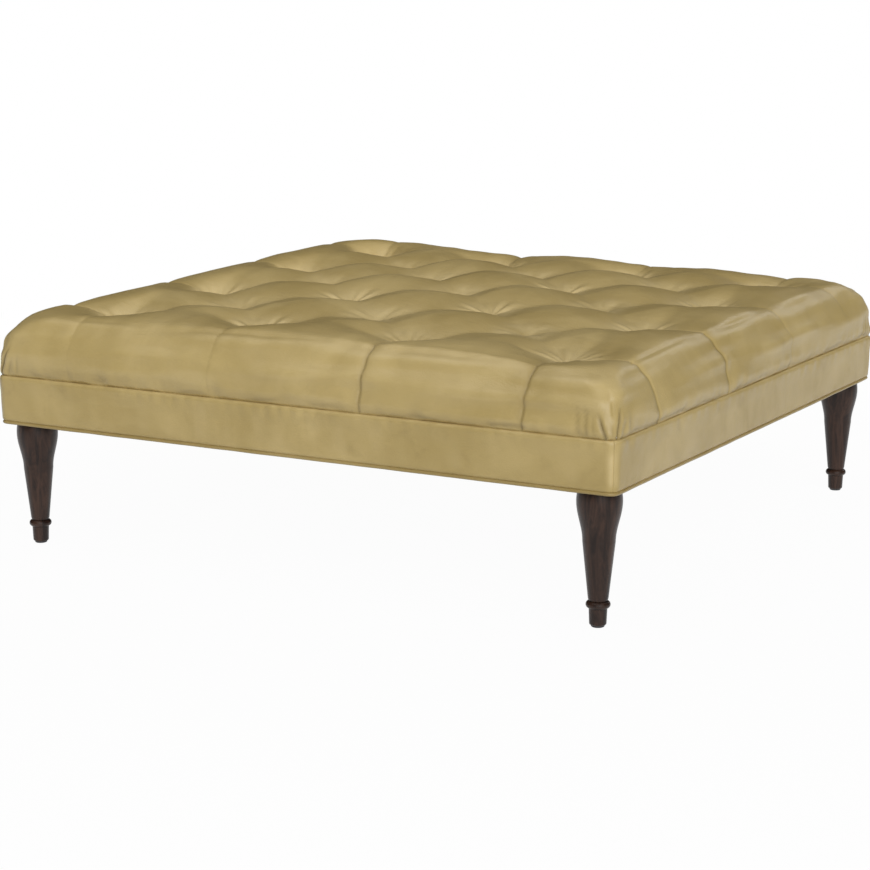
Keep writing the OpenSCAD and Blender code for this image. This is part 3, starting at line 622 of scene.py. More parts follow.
class TuftedSheet:
    """The cushion leather laid flat, and where each point of it goes on the cushion."""

    def __init__(self, x, y):
        self.x, self.y = x, y
        self.major = np.maximum(np.abs(x), np.abs(y))
        self.minor = np.minimum(np.abs(x), np.abs(y))
        self.along_x = np.abs(x) >= np.abs(y)
        self.beyond = np.maximum(0, self.major - TUFT_EDGE)
        self.inset = np.interp(self.beyond, EDGE_RUN, EDGE_INSET)
        self.height = np.interp(self.beyond, EDGE_RUN, EDGE_HEIGHT)
        self.lay_round()
        self.find_normals()
        self.around = np.where(self.along_x, self.py, self.px)
        self.above_seam = SEAM_RUN - self.beyond
        # Each side's number: -1 at the front, 2 at the right, 3 at the back and -2 at the left
        self.side = np.where(self.along_x, 0.0, 1.0) + np.sign(np.where(self.along_x, self.x, self.y)) * 2

    def on_plan(self, outward, sideways):
        """Amounts out from the nearest side and along it, as amounts along X and Y."""
        return (np.where(self.along_x, outward, sideways) * np.sign(self.x),
                np.where(self.along_x, sideways, outward) * np.sign(self.y))

    def lay_round(self):
        """Takes the square rings of the flat sheet to the rounded rings of the cushion."""
        reach = np.where(self.beyond > 0, HALF - self.inset, self.major)
        radius = np.interp(self.beyond, *CORNER_RADII)
        straight = np.maximum(0, reach - radius - TUFT_EDGE)
        excess = np.maximum(0, self.minor - TUFT_EDGE)
        share = np.where(self.beyond > 0, excess / np.maximum(self.beyond, 1e-9), 0)
        run = share * (straight + radius * math.pi / 4)
        turn = np.clip((run - straight) / np.maximum(radius, 1e-9), 0, math.pi / 4)
        bent = run > straight
        far = np.where(bent, reach - radius + radius * np.cos(turn), reach)
        near = np.where(bent, reach - radius + radius * np.sin(turn), np.minimum(self.minor, TUFT_EDGE) + run)
        self.corner_run = run
        self.to_corner = straight + radius * math.pi / 4 - run
        self.turn = np.where(bent, turn, 0)
        self.px, self.py = self.on_plan(far, near)

    def find_normals(self):
        """Direction straight out of the plain cushion at each point."""
        step = 0.002
        ahead, behind = self.beyond + step, self.beyond - step
        down = np.interp(ahead, EDGE_RUN, EDGE_HEIGHT) - np.interp(behind, EDGE_RUN, EDGE_HEIGHT)
        inward = np.interp(ahead, EDGE_RUN, EDGE_INSET) - np.interp(behind, EDGE_RUN, EDGE_INSET)
        size = np.maximum(np.hypot(down, inward), 1e-9)
        outward = np.where(self.beyond > step, -down / size, 0)
        self.up = np.where(self.beyond > step, np.abs(inward) / size, 1)
        self.nx, self.ny = self.on_plan(outward * np.cos(self.turn), outward * np.sin(self.turn))

    def above_band(self, fade_in, fade_out):
        """1 above the seam and 0 below it."""
        return smoothstep(fade_out, fade_in, self.above_seam)

    def over_top(self):
        """1 on the top and 0 on the sides."""
        return 1 - smoothstep(*SIDE_START, self.beyond)

    def over_crest(self):
        """1 on the top and 0 low on the shoulder."""
        return 1 - smoothstep(*SHOULDER_FALL, self.beyond)

    def from_tuft(self, m, n):
        return np.hypot(self.px - m * TUFT_GAP, self.py - n * TUFT_GAP)

    def from_nearest_tuft(self):
        return np.min([self.from_tuft(m, n) for m, n in TUFTS], axis=0)

    def tuft_pull(self):
        """Pull of the dimples at the tufts, deeper in the outer rows."""
        pull = np.zeros_like(self.x)
        for m, n in TUFTS:
            outer = max(abs(m), abs(n)) == OUTER_ROW
            depth = (OUTER_DEPTH if outer else INNER_DEPTH) - FOLD_DEPTH
            dimple = np.exp(-(self.from_tuft(m, n) / DIMPLE_R) ** DIMPLE_POWER)
            pull = np.maximum(pull, depth * dimple)
        return pull

    def pleat_distance(self):
        """Distance along the ring to the nearest pleat, and the same with a sign."""
        m = self.minor / TUFT_GAP
        off = (m - (2 * np.floor(m / 2) + 1)) * TUFT_GAP
        off = np.where(self.minor > TUFT_EDGE, self.corner_run, off)
        return np.abs(off), off * np.where(self.around < 0, -1, 1)

    def fold_pull(self):
        """Pull of the folds between the tufts, turning into pleats over the shoulder."""
        u = (self.x + self.y) / (2 * TUFT_GAP)
        v = (self.x - self.y) / (2 * TUFT_GAP)
        inner = puff(2 * np.abs(u - np.round(u)), PUFF_ROUND) * puff(2 * np.abs(v - np.round(v)), PUFF_ROUND)
        distance, _ = self.pleat_distance()
        held = 1 - PLEAT_SHARE * (1 - self.crispness()) * smoothstep(*PLEATS_FADE, self.beyond)
        out = self.beyond * smoothstep(*PLEATS_EASE, self.beyond)
        share = distance / (TUFT_GAP * np.interp(out, *PLEAT_SPREAD))
        panel = puff(share, np.interp(out, *PLEAT_ROUND)) ** np.interp(out, *PLEAT_POWER)
        depth = np.interp(out, *PLEAT_DEPTH)
        pleats = held * depth * (1 - panel) + PLEAT_LAP * self.pleat_line()
        return np.where(self.beyond > 0, pleats, FOLD_DEPTH * (1 - inner))

    def crispness(self):
        """How crisp the nearest pleat is."""
        number = np.clip(np.round((self.around / TUFT_GAP + 3) / 2), 0, 3).astype(int)
        return sum(np.take(PLEATS[side], number) * (self.side == side) for side in PLEATS)

    def pleat_line(self):
        """1 in the crisp bottom of a pleat; one side of it laps over the other."""
        distance, signed = self.pleat_distance()
        lip, back = np.exp(-(signed / PLEAT_LIP_W) ** 2), np.exp(-distance / PLEAT_BACK_W)
        lap = np.where(signed > 0, lip, back)
        return lap * self.crispness() * smoothstep(*PLEATS_CRISP, self.beyond)

    def roundness(self):
        """Makes the border from the outer tufts to the side one round roll, rounder away from the corners."""
        corner = np.interp(self.beyond, *CORNER_ROLL)
        along = np.interp(self.beyond, *SIDE_ROLL)
        mix = smoothstep(*CORNER_TO_SIDE, self.to_corner)
        return corner + mix * (along - corner)

    def wrinkles(self):
        """Small folds that run out from each tuft, each tuft with its own."""
        draw = np.random.RandomState(WRINKLE_SEED)
        lines = np.zeros_like(self.x)
        for m, n in TUFTS:
            across, along = self.px - m * TUFT_GAP, self.py - n * TUFT_GAP
            distance, angle = np.hypot(across, along), np.arctan2(along, across)
            near = smoothstep(*WRINKLE_START, distance) * (1 - smoothstep(*WRINKLE_END, distance))
            for number in WRINKLE_COUNTS:
                lines += draw.uniform(0.3, 1) * near * np.cos(number * angle + draw.uniform(0, FULL_TURN))
        return WRINKLE_H * lines * self.over_top()

    def streaks(self):
        """Long soft waves of the shoulder, level along each side."""
        wave = ripple(self.around * STREAK_ALONG + SIDE_APART * self.side, self.beyond, STREAK_W, 5)
        return wave * smoothstep(*STREAK_START, self.beyond) * self.above_band(*STREAK_FOOT)

    def seam_puckers(self):
        """Swell of the leather low on the side, and gathers just above the seam."""
        bulge = SWELL_AT_CORNER + SWELL_ALONG_SIDE * smoothstep(*SWELL_FROM_CORNER, self.to_corner)
        swell = bulge * smoothstep(*SWELL_TOP, self.above_seam) * self.above_band(*SWELL_FOOT)
        gathers = sum(share * ripple(self.around, self.side, length, seed) for share, length, seed in GATHERS)
        low = smoothstep(*GATHER_TOP, self.above_seam) * self.above_band(*GATHER_FOOT)
        return swell + GATHER_H * gathers * low

    def level_crease(self):
        """1 in the broken crease that runs level just above the seam."""
        level = CREASE_ABOVE_SEAM + CREASE_WAVER * ripple(self.around, self.side, *CREASE_WAVES)
        strength = smoothstep(-0.5, 0.5, ripple(self.around, self.side, *CREASE_BREAKS))
        return strength * np.exp(-((self.above_seam - level) / CREASE_W) ** 2)

    def corner_gathers(self):
        """Depth of the V-shaped folds where the leather is gathered into each bottom corner."""
        above = np.maximum(0, self.above_seam)
        past_corner = self.to_corner * np.where(self.along_x == (self.x * self.y < 0), 1, -1)
        folds = np.zeros_like(above)
        for foot, lean, width, depth, low, high in CORNER_FOLDS:
            started = smoothstep(low - CORNER_FOLD_END, low + CORNER_FOLD_END, above)
            length = started * (1 - smoothstep(0.5 * high, high, above))
            away = past_corner - foot - lean * above
            folds += depth * length * np.exp(-np.abs(away / width) ** CORNER_FOLD_POWER)
        return folds * (self.minor > TUFT_EDGE)

    def creases(self):
        """1 in a sharp crease, for painted shade in the leather's colour."""
        lines = 0.8 * self.pleat_line() + 0.5 * self.level_crease() + self.corner_gathers() / DEEP_FOLD
        return np.clip(lines, 0, 1) * self.above_band(0.003, 0.0)

    def hand_work(self):
        """Unevenness that a hand-tufted top has, except where the twines hold it down."""
        lump = sum(rise * ripple(self.px, self.py, length, seed) for rise, length, seed in LUMPS)
        lump *= (0.3 + 0.7 * self.over_top()) * self.above_band(0.012, 0.002)
        for x, y, rise, spread in UNEVEN:
            distance = np.hypot(self.px - x, self.py - y)
            reach = self.over_crest() if rise > 0 else self.over_top()
            lump += rise * np.exp(-(distance / spread) ** 2) * reach
        return lump * smoothstep(HELD_R, FREE_R, self.from_nearest_tuft())

    def shape(self, depth_in=0.0, details=True):
        """Points of the cushion surface, or of a layer that deep inside it."""
        fade = 1 - smoothstep(BORDER, SHOULDER_END, self.beyond)
        base = CREST_Z + self.height + fade * crown(self.px, self.py)
        push = self.hand_work() + self.roundness() - depth_in
        push -= self.tuft_pull() + self.fold_pull() * self.above_band(0.004, -0.002)
        if details:
            push += self.seam_puckers() + self.wrinkles() + STREAK_RISE * self.streaks()
            push -= self.corner_gathers() + CREASE_DEPTH * self.level_crease()
        return np.stack([
            self.px + push * self.nx, self.py + push * self.ny, base + push * self.up,
        ], axis=1)


# The sheet's grid, closer at the tufts, at the pleats and towards the bottom corners

GAP_CELLS = 30
BORDER_CELLS = 32
LOWER_CELLS = 31
HALF_CELLS = 3 * GAP_CELLS + BORDER_CELLS + LOWER_CELLS
LOWER_START = 0.195
CLOSER = 0.45


def closer_at_ends(length, cells):
    """Steps along a length that are shorter at both its ends."""
    even = np.linspace(0, 1, cells + 1)
    return length * (even - CLOSER / FULL_TURN * np.sin(FULL_TURN * even))


def grid_lines(edge_end):
    """Distance of each grid line from the middle of the sheet."""
    even = np.arange(3 * GAP_CELLS + 1) * TUFT_GAP / GAP_CELLS
    inner = even - CLOSER * TUFT_GAP / math.pi * np.sin(math.pi * (even / TUFT_GAP - 1))
    border = TUFT_EDGE + closer_at_ends(LOWER_START, BORDER_CELLS)[1:]
    lower = TUFT_EDGE + np.linspace(LOWER_START, edge_end, LOWER_CELLS + 1)[1:]
    return np.concatenate([inner, border, lower])


def laid_out(mesh, edge_end=EDGE_END):
    """The sheet that a grid mesh stands for."""
    lines = grid_lines(edge_end)
    flat = coordinates(mesh)[:, :2] * 2
    spread = np.sign(flat) * np.interp(np.abs(flat) * HALF_CELLS, np.arange(HALF_CELLS + 1), lines)
    return TuftedSheet(spread[:, 0], spread[:, 1])


# How the stuffing pushes the leather out between the tufts, by cloth simulation on a coarser sheet

COARSE = 3
COVER_CELLS = 2 * HALF_CELLS
LAYER_CELLS = COVER_CELLS // COARSE
SIM_FRAMES = 20
MOST_MOVE = 0.007
SMOOTHINGS = 3
BAND_HOLD = (0.010, -0.002)
TUFT_HOLD = (0.024, 0.012)


def held_share(sheet):
    """1 where the twine or the band holds the leather, 0 where it is free."""
    by_band = smoothstep(*BAND_HOLD, sheet.above_seam)
    return np.maximum(by_band, smoothstep(*TUFT_HOLD, sheet.from_nearest_tuft()))


def stuffing_push(mesh, held):
    """Blows the sheet up as cloth for a few frames and returns how far each point moved."""
    start = coordinates(mesh)
    worker = add_object("cover_at_work", mesh)
    group = worker.vertex_groups.new(name="held")
    for index, share in enumerate(held):
        group.add([index], float(share), "REPLACE")
    cloth = worker.modifiers.new("stuffing", "CLOTH")
    settings = cloth.settings
    settings.quality = 6
    settings.mass = 0.5
    settings.tension_stiffness = settings.compression_stiffness = 15
    settings.shear_stiffness = 8
    settings.bending_stiffness = 1
    settings.use_pressure = True
    settings.uniform_pressure_force = 4
    settings.vertex_group_mass = "held"
    settings.effector_weights.gravity = 0
    scene = bpy.context.scene
    for number in range(1, SIM_FRAMES + 1):
        scene.frame_set(number)
    blown = worker.evaluated_get(bpy.context.evaluated_depsgraph_get()).to_mesh()
    moved = coordinates(blown) - start
    bpy.data.objects.remove(worker)
    scene.frame_set(1)
    far = np.linalg.norm(moved, axis=1)
    share = np.minimum(1, MOST_MOVE / np.maximum(far, 1e-9)) * (1 - held)
    return moved * share[:, None]


def on_finer_grid(moves, cells):
    """Moves on the coarse grid, read at each point of the fine one and smoothed."""
    side = round(len(moves) ** 0.5)
    at, read = np.linspace(0, 1, side), np.linspace(0, 1, cells + 1)
    layers = []
    for layer in moves.reshape(side, side, 3).transpose(2, 0, 1):
        layer = np.array([np.interp(read, at, row) for row in layer])
        layer = np.array([np.interp(read, at, column) for column in layer.T]).T
        for _ in range(SMOOTHINGS):
            layer[1:-1] = (layer[:-2] + layer[1:-1] + layer[2:]) / 3
            layer[:, 1:-1] = (layer[:, :-2] + layer[:, 1:-1] + layer[:, 2:]) / 3
        layers.append(layer.ravel())
    return np.stack(layers, axis=1)


def stuffing_moves():
    """Moves of the coarse sheet's points, from the cloth simulation."""
    mesh = flat_grid("cover_at_work", LAYER_CELLS, LAYER_CELLS)
    sheet = laid_out(mesh)
    move_points(mesh, sheet.shape(details=False))
    moves = np.zeros((len(mesh.vertices), 3))
    moves = stuffing_push(mesh, held_share(sheet))
    return moves


# The tufted leather

# Painted light in the cover's colour: highlights in the hollows, sheen streaks on the shoulder and light in
# the shaded notch at the seam
HOLLOW_PAINTED_HIGHLIGHT = 1.6
HOLLOW_DEPTHS = (0.012, 0.030)
SHEEN_FREE_DEPTH = 0.004
SHEEN_STREAK_START = (0.02, 0.12)
SEAM_PAINTED_LIGHT = (0.008, 0.002)


def cover_painted_light_and_stretch(sheet):
    """Painted light in the leather's colour: highlights in the hollows and sheen along the streaks of the
    shoulder, both partly paler stretched leather, and light in the shaded notch at the seam.
    """
    pull = sheet.tuft_pull() + sheet.fold_pull()
    hollow = smoothstep(*HOLLOW_DEPTHS, pull)
    streaks = 0.4 + 0.6 * smoothstep(0.0, 0.8, sheet.streaks())
    painted_lightening = streaks * smoothstep(*SHEEN_STREAK_START, sheet.beyond) * np.clip(1 - pull / SHEEN_FREE_DEPTH, 0, 1)
    seam = smoothstep(*SEAM_PAINTED_LIGHT, sheet.above_seam)
    return np.max([HOLLOW_PAINTED_HIGHLIGHT * hollow, painted_lightening, seam], axis=0)


def cushion_cover(moves):
    """The tufted leather, from the tufts down to the flange behind the band."""
    mesh = flat_grid("tufted_cover", COVER_CELLS, COVER_CELLS)
    sheet = laid_out(mesh)
    move_points(mesh, sheet.shape() + on_finer_grid(moves, COVER_CELLS))
    # Painted shade in the pleats, the level crease and the corner folds
    float_attribute(mesh, "painted_crease_shade", sheet.creases())
    # Painted light: highlights, sheen and light at the seam, partly paler stretched leather
    float_attribute(mesh, "painted_light_and_stretch", cover_painted_light_and_stretch(sheet))
    cover = add_piece("tufted_cover", mesh, top_leather, "top_leather", "top_cover")


# Batting and foam inside the cover, on the coarse sheet

BATTING_GAP = 0.0045
BATTING_T = 0.007
BATTING_DEPTH = LEATHER_T + BATTING_GAP
BATTING_LOW = DECK_Z + 0.002
FOAM_GAP = 0.0005
FOAM_DEPTH = BATTING_DEPTH + BATTING_T + FOAM_GAP
FOAM_LOW = DECK_Z + 0.0005


def inner_layer(name, moves, depth, lowest):
    """The sheet that deep inside the cover, cut off level at its lowest height."""
    mesh = flat_grid(name, LAYER_CELLS, LAYER_CELLS)
    cut = np.interp(CREST_Z - lowest, -EDGE_HEIGHT, EDGE_RUN)
    sheet = laid_out(mesh, cut)
    places = sheet.shape(depth, details=False) + moves
    places[sheet.beyond > cut - 1e-6, 2] = lowest
    places[:, 2] = np.maximum(places[:, 2], lowest)
    move_points(mesh, places)
    return mesh


def seat_batting(moves):
    """Batting between the foam and the leather, open below."""
    mesh = inner_layer("polyester_wrap", moves, BATTING_DEPTH, BATTING_LOW)
    wrap = add_piece("polyester_wrap", mesh, batting, "batting", "batting")
    thicken(wrap, BATTING_T)


def seat_foam(moves):
    """Foam block on the deck, closed below by one flat face."""
    mesh = inner_layer("seat_foam", moves, FOAM_DEPTH, FOAM_LOW)
    bm = bmesh.new()
    bm.from_mesh(mesh)
    rim = [edge for edge in bm.edges if edge.is_boundary]
    bmesh.ops.contextual_create(bm, geom=rim)
    bmesh.ops.recalc_face_normals(bm, faces=bm.faces)
    bm.to_mesh(mesh)
    bm.free()
    pad = add_piece("seat_foam", mesh, foam, "foam", "foam_pad")


# Band, felt and welt: strips laid round the frame

CORNER_REACH = 0.3 * math.pi


def side_frame(side):
    """Directions of one side: outwards and along, for front, right, back and left."""
    turn = math.radians(-90 + 90 * side)
    outward = np.array([math.cos(turn), math.sin(turn)])
    return outward, np.array([-outward[1], outward[0]])


def lay_along_side(run, proud, side):
    """Plan places of points at a run along a side, round half of each corner, and how far proud."""
    outward, along = side_frame(side)
    turn = np.clip((np.abs(run) - STRAIGHT) / BAND_CORNER_R, 0, CORNER_REACH)
    radius = BAND_CORNER_R + proud
    out = STRAIGHT + radius * np.cos(turn)
    sideways = np.where(turn > 0, STRAIGHT + radius * np.sin(turn), np.abs(run)) * np.sign(run)
    return out[:, None] * outward + sideways[:, None] * along


def ease_line(points, steps):
    """The same line with evenly spaced points."""
    points = np.array(points)
    run = line_run(points)
    even = np.linspace(0, run[-1], steps)
    return np.stack([np.interp(even, run, points[:, 0]), np.interp(even, run, points[:, 1])], axis=1)


# The band's leather

LAP = 0.0006
BAND_REACH = STRAIGHT + BAND_CORNER_R * math.pi / 4 + LAP
BAND_TURN_Z = SEAT_Z + 0.0022
BAND_H = SEAM_Z - BAND_TURN_Z
BAND_CELLS = (240, 40)
BAND_LINE_STEPS = 400
ROLL_R = 0.0048
ROLL_PROUD = 0.003
ROLL_TAIL = 0.010
FLARE_H = 0.030
BEND_R = 0.004
TURN_UNDER = 0.027
BAND_WAVE = 0.0007
BAND_PUCKER = 0.0010
BAND_SWELL = 0.0012
CORNER_TUCK = 0.0004


def band_line():
    """Distance proud of the frame's plan and height, from behind the top roll down and under."""
    roll_z = SEAM_Z - ROLL_R
    roll = [[ROLL_PROUD - ROLL_R + ROLL_R * math.cos(a), roll_z + ROLL_R * math.sin(a)]
            for a in np.radians(np.linspace(180, 0, 12))]
    flare = [[ROLL_PROUD * (1 + math.cos(math.pi * share)) / 2, roll_z - FLARE_H * share]
             for share in np.linspace(0.1, 1, 8)]
    bend = [[-BEND_R + BEND_R * math.cos(a), BAND_TURN_Z + BEND_R + BEND_R * math.sin(a)]
            for a in np.radians(np.linspace(0, -90, 8))]
    start, end = [ROLL_PROUD - 2 * ROLL_R, roll_z - ROLL_TAIL], [-TURN_UNDER, BAND_TURN_Z]
    return [start] + roll + flare + bend + [end]


def band_side(side):
    """One side of the leather band, padded, rolled at its top edge and turned under the frame."""
    name = "band_leather_" + SIDES[side]
    mesh = flat_grid(name, *BAND_CELLS)
    flat = coordinates(mesh)
    run = flat[:, 0] * 2 * BAND_REACH
    line = ease_line(band_line(), BAND_LINE_STEPS)
    place = (flat[:, 1] + 0.5) * (len(line) - 1)
    proud = np.interp(place, np.arange(len(line)), line[:, 0])
    z = np.interp(place, np.arange(len(line)), line[:, 1])
    face = smoothstep(BAND_TURN_Z, BAND_TURN_Z + 0.02, z) * smoothstep(SEAM_Z, SEAM_Z - 0.03, z)
    top = smoothstep(SEAM_Z - 0.030, SEAM_Z - 0.006, z) * smoothstep(-0.006, 0.001, proud)
    wave = BAND_WAVE * ripple(run, z * 0.5 + side, 0.16, 21 + side)
    pucker = BAND_PUCKER * ripple(run, np.full_like(run, side), 0.030, 31 + side)
    swell = BAND_SWELL * np.sin(math.pi * np.clip((z - BAND_TURN_Z) / BAND_H, 0, 1))
    tuck = CORNER_TUCK * smoothstep(BAND_REACH - 0.004, BAND_REACH - 0.001, run)
    out = (wave + swell) * face + pucker * top - tuck
    plan = lay_along_side(run, proud + out, side)
    move_points(mesh, np.column_stack([plan, z]))
    # Painted light: a highlight down the rounded corners, reflection streaks on the face and light in the
    # shaded notch at the seam
    corner = smoothstep(BAND_REACH - 0.012, BAND_REACH - 0.004, np.abs(run))
    streaks = smoothstep(0.0, 0.8, ripple(run, z * 0.3, 0.07, 51 + side))
    rim = smoothstep(0.006, 0.001, SEAM_Z - z)
    float_attribute(mesh, "painted_light_and_stretch", (corner + 0.5 * streaks) * face + rim)
    band = add_piece(name, mesh, band_leather, "band_leather", "band_" + SIDES[side])
    round_off(band)
    thicken(band, LEATHER_T)


# Sections carried along the sides and round the corners

UP = (0, 0, 1)
NOWHERE = (0, 0, 0)
RUN_STEPS = 90
CORNER_STEPS = 8


def carry(bm, section, steps, shift=NOWHERE, centre=NOWHERE, turn=0.0, axis=UP):
    """Draws a section along or round in steps, and returns its new end."""
    return bmesh.ops.spin(
        bm, geom=section, steps=steps, dvec=shift, cent=centre, angle=turn, axis=axis)["geom_last"]


def along_side(bm, section, side):
    """Carries a section along the straight part of one side."""
    _, along = side_frame(side)
    return carry(bm, section, RUN_STEPS, shift=(*(along * 2 * STRAIGHT / RUN_STEPS), 0))


def round_corner(bm, section, corner, share=1):
    """Carries a section round a corner, or a share of it."""
    return carry(bm, section, round(share * CORNER_STEPS), centre=(*corner, 0), turn=share * math.pi / 2)


def closed_mesh(name, bm):
    """The mesh of a carried section, with its joints merged and its faces outwards."""
    bmesh.ops.remove_doubles(bm, verts=bm.verts, dist=1e-5)
    bmesh.ops.recalc_face_normals(bm, faces=bm.faces)
    return finished_mesh(name, bm)


# The welt: a cord wrapped in leather, under the band's bottom edge

WELT_R = 0.003
WELT_INSET = 0.002
WELT_TAIL = 0.018
WELT_TAIL_STEPS = 6
WELT_WRAP = math.radians(300)
WELT_WRAP_STEPS = 20
WELT_WAVER = 0.00025
WELT_START = (BAND_CORNER_R - HALF, WELT_INSET - HALF, BAND_TURN_Z - WELT_R)
CORD_R = WELT_R - LEATHER_T - 0.0001


def carried_round(name, bm):
    """Carries a section that lies at the start of the front side once round the ottoman."""
    section = bm.verts[:] + bm.edges[:]
    for side in range(4):
        outward, along = side_frame(side)
        section = round_corner(bm, along_side(bm, section, side), (outward + along) * STRAIGHT)
    mesh = closed_mesh(name, bm)
    places = coordinates(mesh)
    waver = [ripple(places[:, 0], places[:, 1], 0.09, seed) for seed in (61, 62, 63)]
    move_points(mesh, places + WELT_WAVER * np.stack(waver, axis=1))
    return mesh


def welt_cover():
    """The strip of leather wrapped round the cord, with its flat tail tacked to the frame."""
    bm = bmesh.new()
    x, y, z = WELT_START
    tail = bm.verts.new((x, y + WELT_TAIL, z + WELT_R - LEATHER_T / 2))
    root = carry(bm, [tail], WELT_TAIL_STEPS, shift=(0, -WELT_TAIL / WELT_TAIL_STEPS, 0))
    carry(bm, root, WELT_WRAP_STEPS, centre=WELT_START, turn=WELT_WRAP, axis=(1, 0, 0))
    mesh = carried_round("welt_bead", bm)
    bead = add_piece("welt_bead", mesh, welt_leather, "band_leather", "welt_cover")
    thicken(bead, LEATHER_T, 0.0)


def welt_cord():
    """The twisted cord inside the welt."""
    bm = bmesh.new()
    section = bmesh.ops.create_circle(bm, segments=12, radius=CORD_R)["verts"]
    bmesh.ops.rotate(bm, verts=section, cent=NOWHERE, matrix=Matrix.Rotation(math.pi / 2, 3, "Y"))
    bmesh.ops.translate(bm, verts=section, vec=WELT_START)
    mesh = carried_round("piping_cord", bm)
    add_piece("piping_cord", mesh, twine, "cord", "welt_cord")


# Felt under the band

FELT_T = 0.0066
FELT_FACE = -0.0019
STRIP_GAP = 0.0003


def felt_outline():
    """The felt's section as distance proud of the frame's plan and height, thinner behind the card strip."""
    strip_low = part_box("tack_strip_front")[0]
    low, high = (end.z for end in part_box("band_pad_front"))
    inner, strip = -LEATHER_T - FELT_T, -HALF - strip_low.y
    step = strip_low.z - STRIP_GAP
    return [(inner, low), (FELT_FACE, low), (FELT_FACE, step), (strip, step), (strip, high), (inner, high)]


def band_felt(side):
    """Felt between the frame and the band along one side, round half of the corner at each end."""
    outward, along = side_frame(side)
    start, end = outward * STRAIGHT - along * STRAIGHT, (outward + along) * STRAIGHT
    bm = bmesh.new()
    section = []
    for proud, z in felt_outline():
        section.append(bm.verts.new((*(outward * (HALF + proud) - along * STRAIGHT), z)))
    face = bm.faces.new(section)
    half_back = Matrix.Rotation(-math.pi / 4, 3, "Z")
    bmesh.ops.rotate(bm, verts=section, cent=(*start, 0), matrix=half_back)
    section = round_corner(bm, [face], start, 0.5)
    round_corner(bm, along_side(bm, section, side), end, 0.5)
    mesh = closed_mesh("felt_" + SIDES[side], bm)
    pad = add_piece("felt_" + SIDES[side], mesh, felt, "felt", "band_pad_" + SIDES[side])
    smooth_shading(mesh, False)


# Dust cover under the frame

DUST_CELLS = 80
DUST_INSET = 0.009
DUST_T = 0.0008
DUST_SAG = 0.0035
DUST_WAVE = 0.0010


def dust_cover():
    """Black cloth stretched under the frame, sagging a little between the rails."""
    mesh = flat_grid("dust_cover", DUST_CELLS, DUST_CELLS)
    flat = coordinates(mesh)
    size = 2 * (HALF - DUST_INSET)
    x, y = flat[:, 0] * size, flat[:, 1] * size
    span = (1 - (2 * flat[:, 0]) ** 4) * (1 - (2 * flat[:, 1]) ** 4)
    wave = DUST_WAVE * ripple(x, y, 0.30, 41)
    edge = 1 - smoothstep(0.40, 0.46, np.maximum(np.abs(flat[:, 0]), np.abs(flat[:, 1])))
    sag = -DUST_SAG * span * edge
    move_points(mesh, np.column_stack([x, y, SEAT_Z + DUST_T / 2 + (sag + wave) * edge]))
    cover = add_piece("dust_cover_cloth", mesh, dust_cloth, "dust_cloth", "dust_cover")
    thicken(cover, DUST_T, 0.0)


# Studio: white floor, soft light and dark cards that only reflections see

WHITE = (1, 1, 1, 1)
FLOOR_WIDTH = 40
FLOOR_GLOW = 0.97
SHADOW_END = (0.8, 3.0)
WORLD_LEVEL = 0.14
CARDS_H = 7.4
CARDS_FOOT_R = 9.0
CARDS_TOP_R = 5.6
CARDS_MIDDLE_Z = 3.9
AIM_Z = 0.3


def seen_directly(nodes, links):
    """1 for rays from the camera and for what mirrors and glass show, otherwise 0."""
    path = nodes.new("ShaderNodeLightPath")
    shown = path.outputs["Is Camera Ray"]
    for name in ("Is Glossy Ray", "Is Transmission Ray"):
        either = nodes.new("ShaderNodeMath")
        either.operation = "MAXIMUM"
        links.new(shown, either.inputs[0])
        links.new(path.outputs[name], either.inputs[1])
        shown = either.outputs[0]
    return shown


def floor_finish():
    """Matt paper that takes the shadow near the ottoman and is plain white further away."""
    paper = Finish("floor_paper", Base_Color=(0.75, 0.75, 0.75))
    fibres = paper.noise(paper.place(), 3.0, 3.0)
    paper.finish(Roughness=0.85 + fibres * 0.1)
    middle = paper.add("ShaderNodeTexCoord", outlet="Object")
    away = paper.add("ShaderNodeVectorMath", {"operation": "LENGTH"}, {0: middle}, "Value")
    shown = Value(paper, seen_directly(paper.nodes, paper.links))
    glow = paper.add("ShaderNodeEmission", {}, {"Color": WHITE, "Strength": 1.0})
    whiter = away.smooth(*SHADOW_END) * (1 - FLOOR_GLOW)
    mixed = paper.add("ShaderNodeMixShader", {}, {0: shown * (FLOOR_GLOW + whiter)})
    shaders = mixed.socket.node.inputs
    paper.links.new(paper.shader.outputs[0], shaders[1])
    paper.links.new(glow.socket, shaders[2])
    paper.links.new(mixed.socket, paper.surface)
    return paper.material


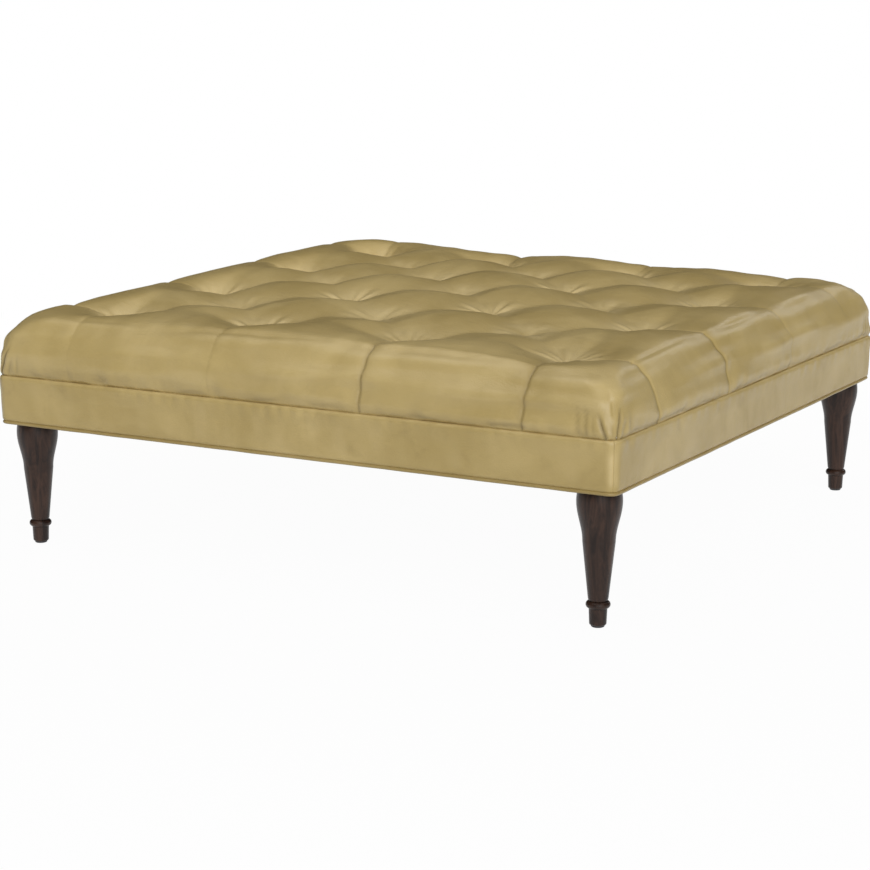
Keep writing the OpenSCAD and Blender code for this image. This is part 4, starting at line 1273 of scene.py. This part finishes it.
def white_world(level):
    """White where it is seen, and only that level of light from all round."""
    world = bpy.data.worlds.new("studio_world")
    bpy.context.scene.world = world
    world.use_nodes = True
    nodes, links = world.node_tree.nodes, world.node_tree.links
    strength = nodes.new("ShaderNodeMapRange")
    strength.inputs["To Min"].default_value = level
    strength.inputs["To Max"].default_value = 1.0
    links.new(seen_directly(nodes, links), strength.inputs["Value"])
    background = nodes["Background"]
    background.inputs["Color"].default_value = WHITE
    links.new(strength.outputs[0], background.inputs["Strength"])


def dark_cards():
    """A ring of black card round the set, which keeps the white wall out of the leather's gloss."""
    bm = bmesh.new()
    bmesh.ops.create_cone(bm, cap_ends=False, segments=48,
                          radius1=CARDS_FOOT_R, radius2=CARDS_TOP_R, depth=CARDS_H)
    bmesh.ops.translate(bm, vec=(0, 0, CARDS_MIDDLE_Z), verts=bm.verts)
    mesh = finished_mesh("dark_cards", bm)
    mesh.materials.append(Finish("black_card", Base_Color=(0.02, 0.02, 0.02), Roughness=1.0).material)
    ring = add_object("dark_cards", mesh)
    ring.visible_camera = ring.visible_diffuse = ring.visible_shadow = False
    return ring


def aimed_lamp(name, kind, place, **settings):
    """A lamp at that place, turned to the ottoman."""
    lamp = bpy.data.lights.new(name, kind)
    for setting, value in settings.items():
        setattr(lamp, setting, value)
    lamp_object = add_object(name, lamp)
    lamp_object.location = place
    x, y, z = place
    tilt = math.atan2(math.hypot(x, y), z - AIM_Z)
    lamp_object.rotation_euler = (tilt, 0, math.atan2(-y, -x) - math.pi / 2)


def studio():
    """Floor, cards, world and lamps."""
    floor_mesh = flat_grid("studio_floor", 1, 1)
    move_points(floor_mesh, coordinates(floor_mesh) * FLOOR_WIDTH)
    floor_mesh.materials.append(floor_finish())
    floor = add_object("studio_floor", floor_mesh)
    dark_cards()
    white_world(WORLD_LEVEL)
    aimed_lamp("key_light", "SUN", (3.0, -3.4, 2.35), energy=2.3, angle=math.radians(50))
    aimed_lamp("top_softbox", "AREA", (-0.3, -0.9, 3.2), energy=15, size=1.8)
    aimed_lamp("back_softbox", "AREA", (0.9, 4.2, 2.6), energy=14, size=1.3)


studio()
finish_nodes()
moves = stuffing_moves()
cushion_cover(moves)
seat_batting(moves)
seat_foam(moves)
for side in range(4):
    band_side(side)
    band_felt(side)
welt_cover()
welt_cord()
dust_cover()
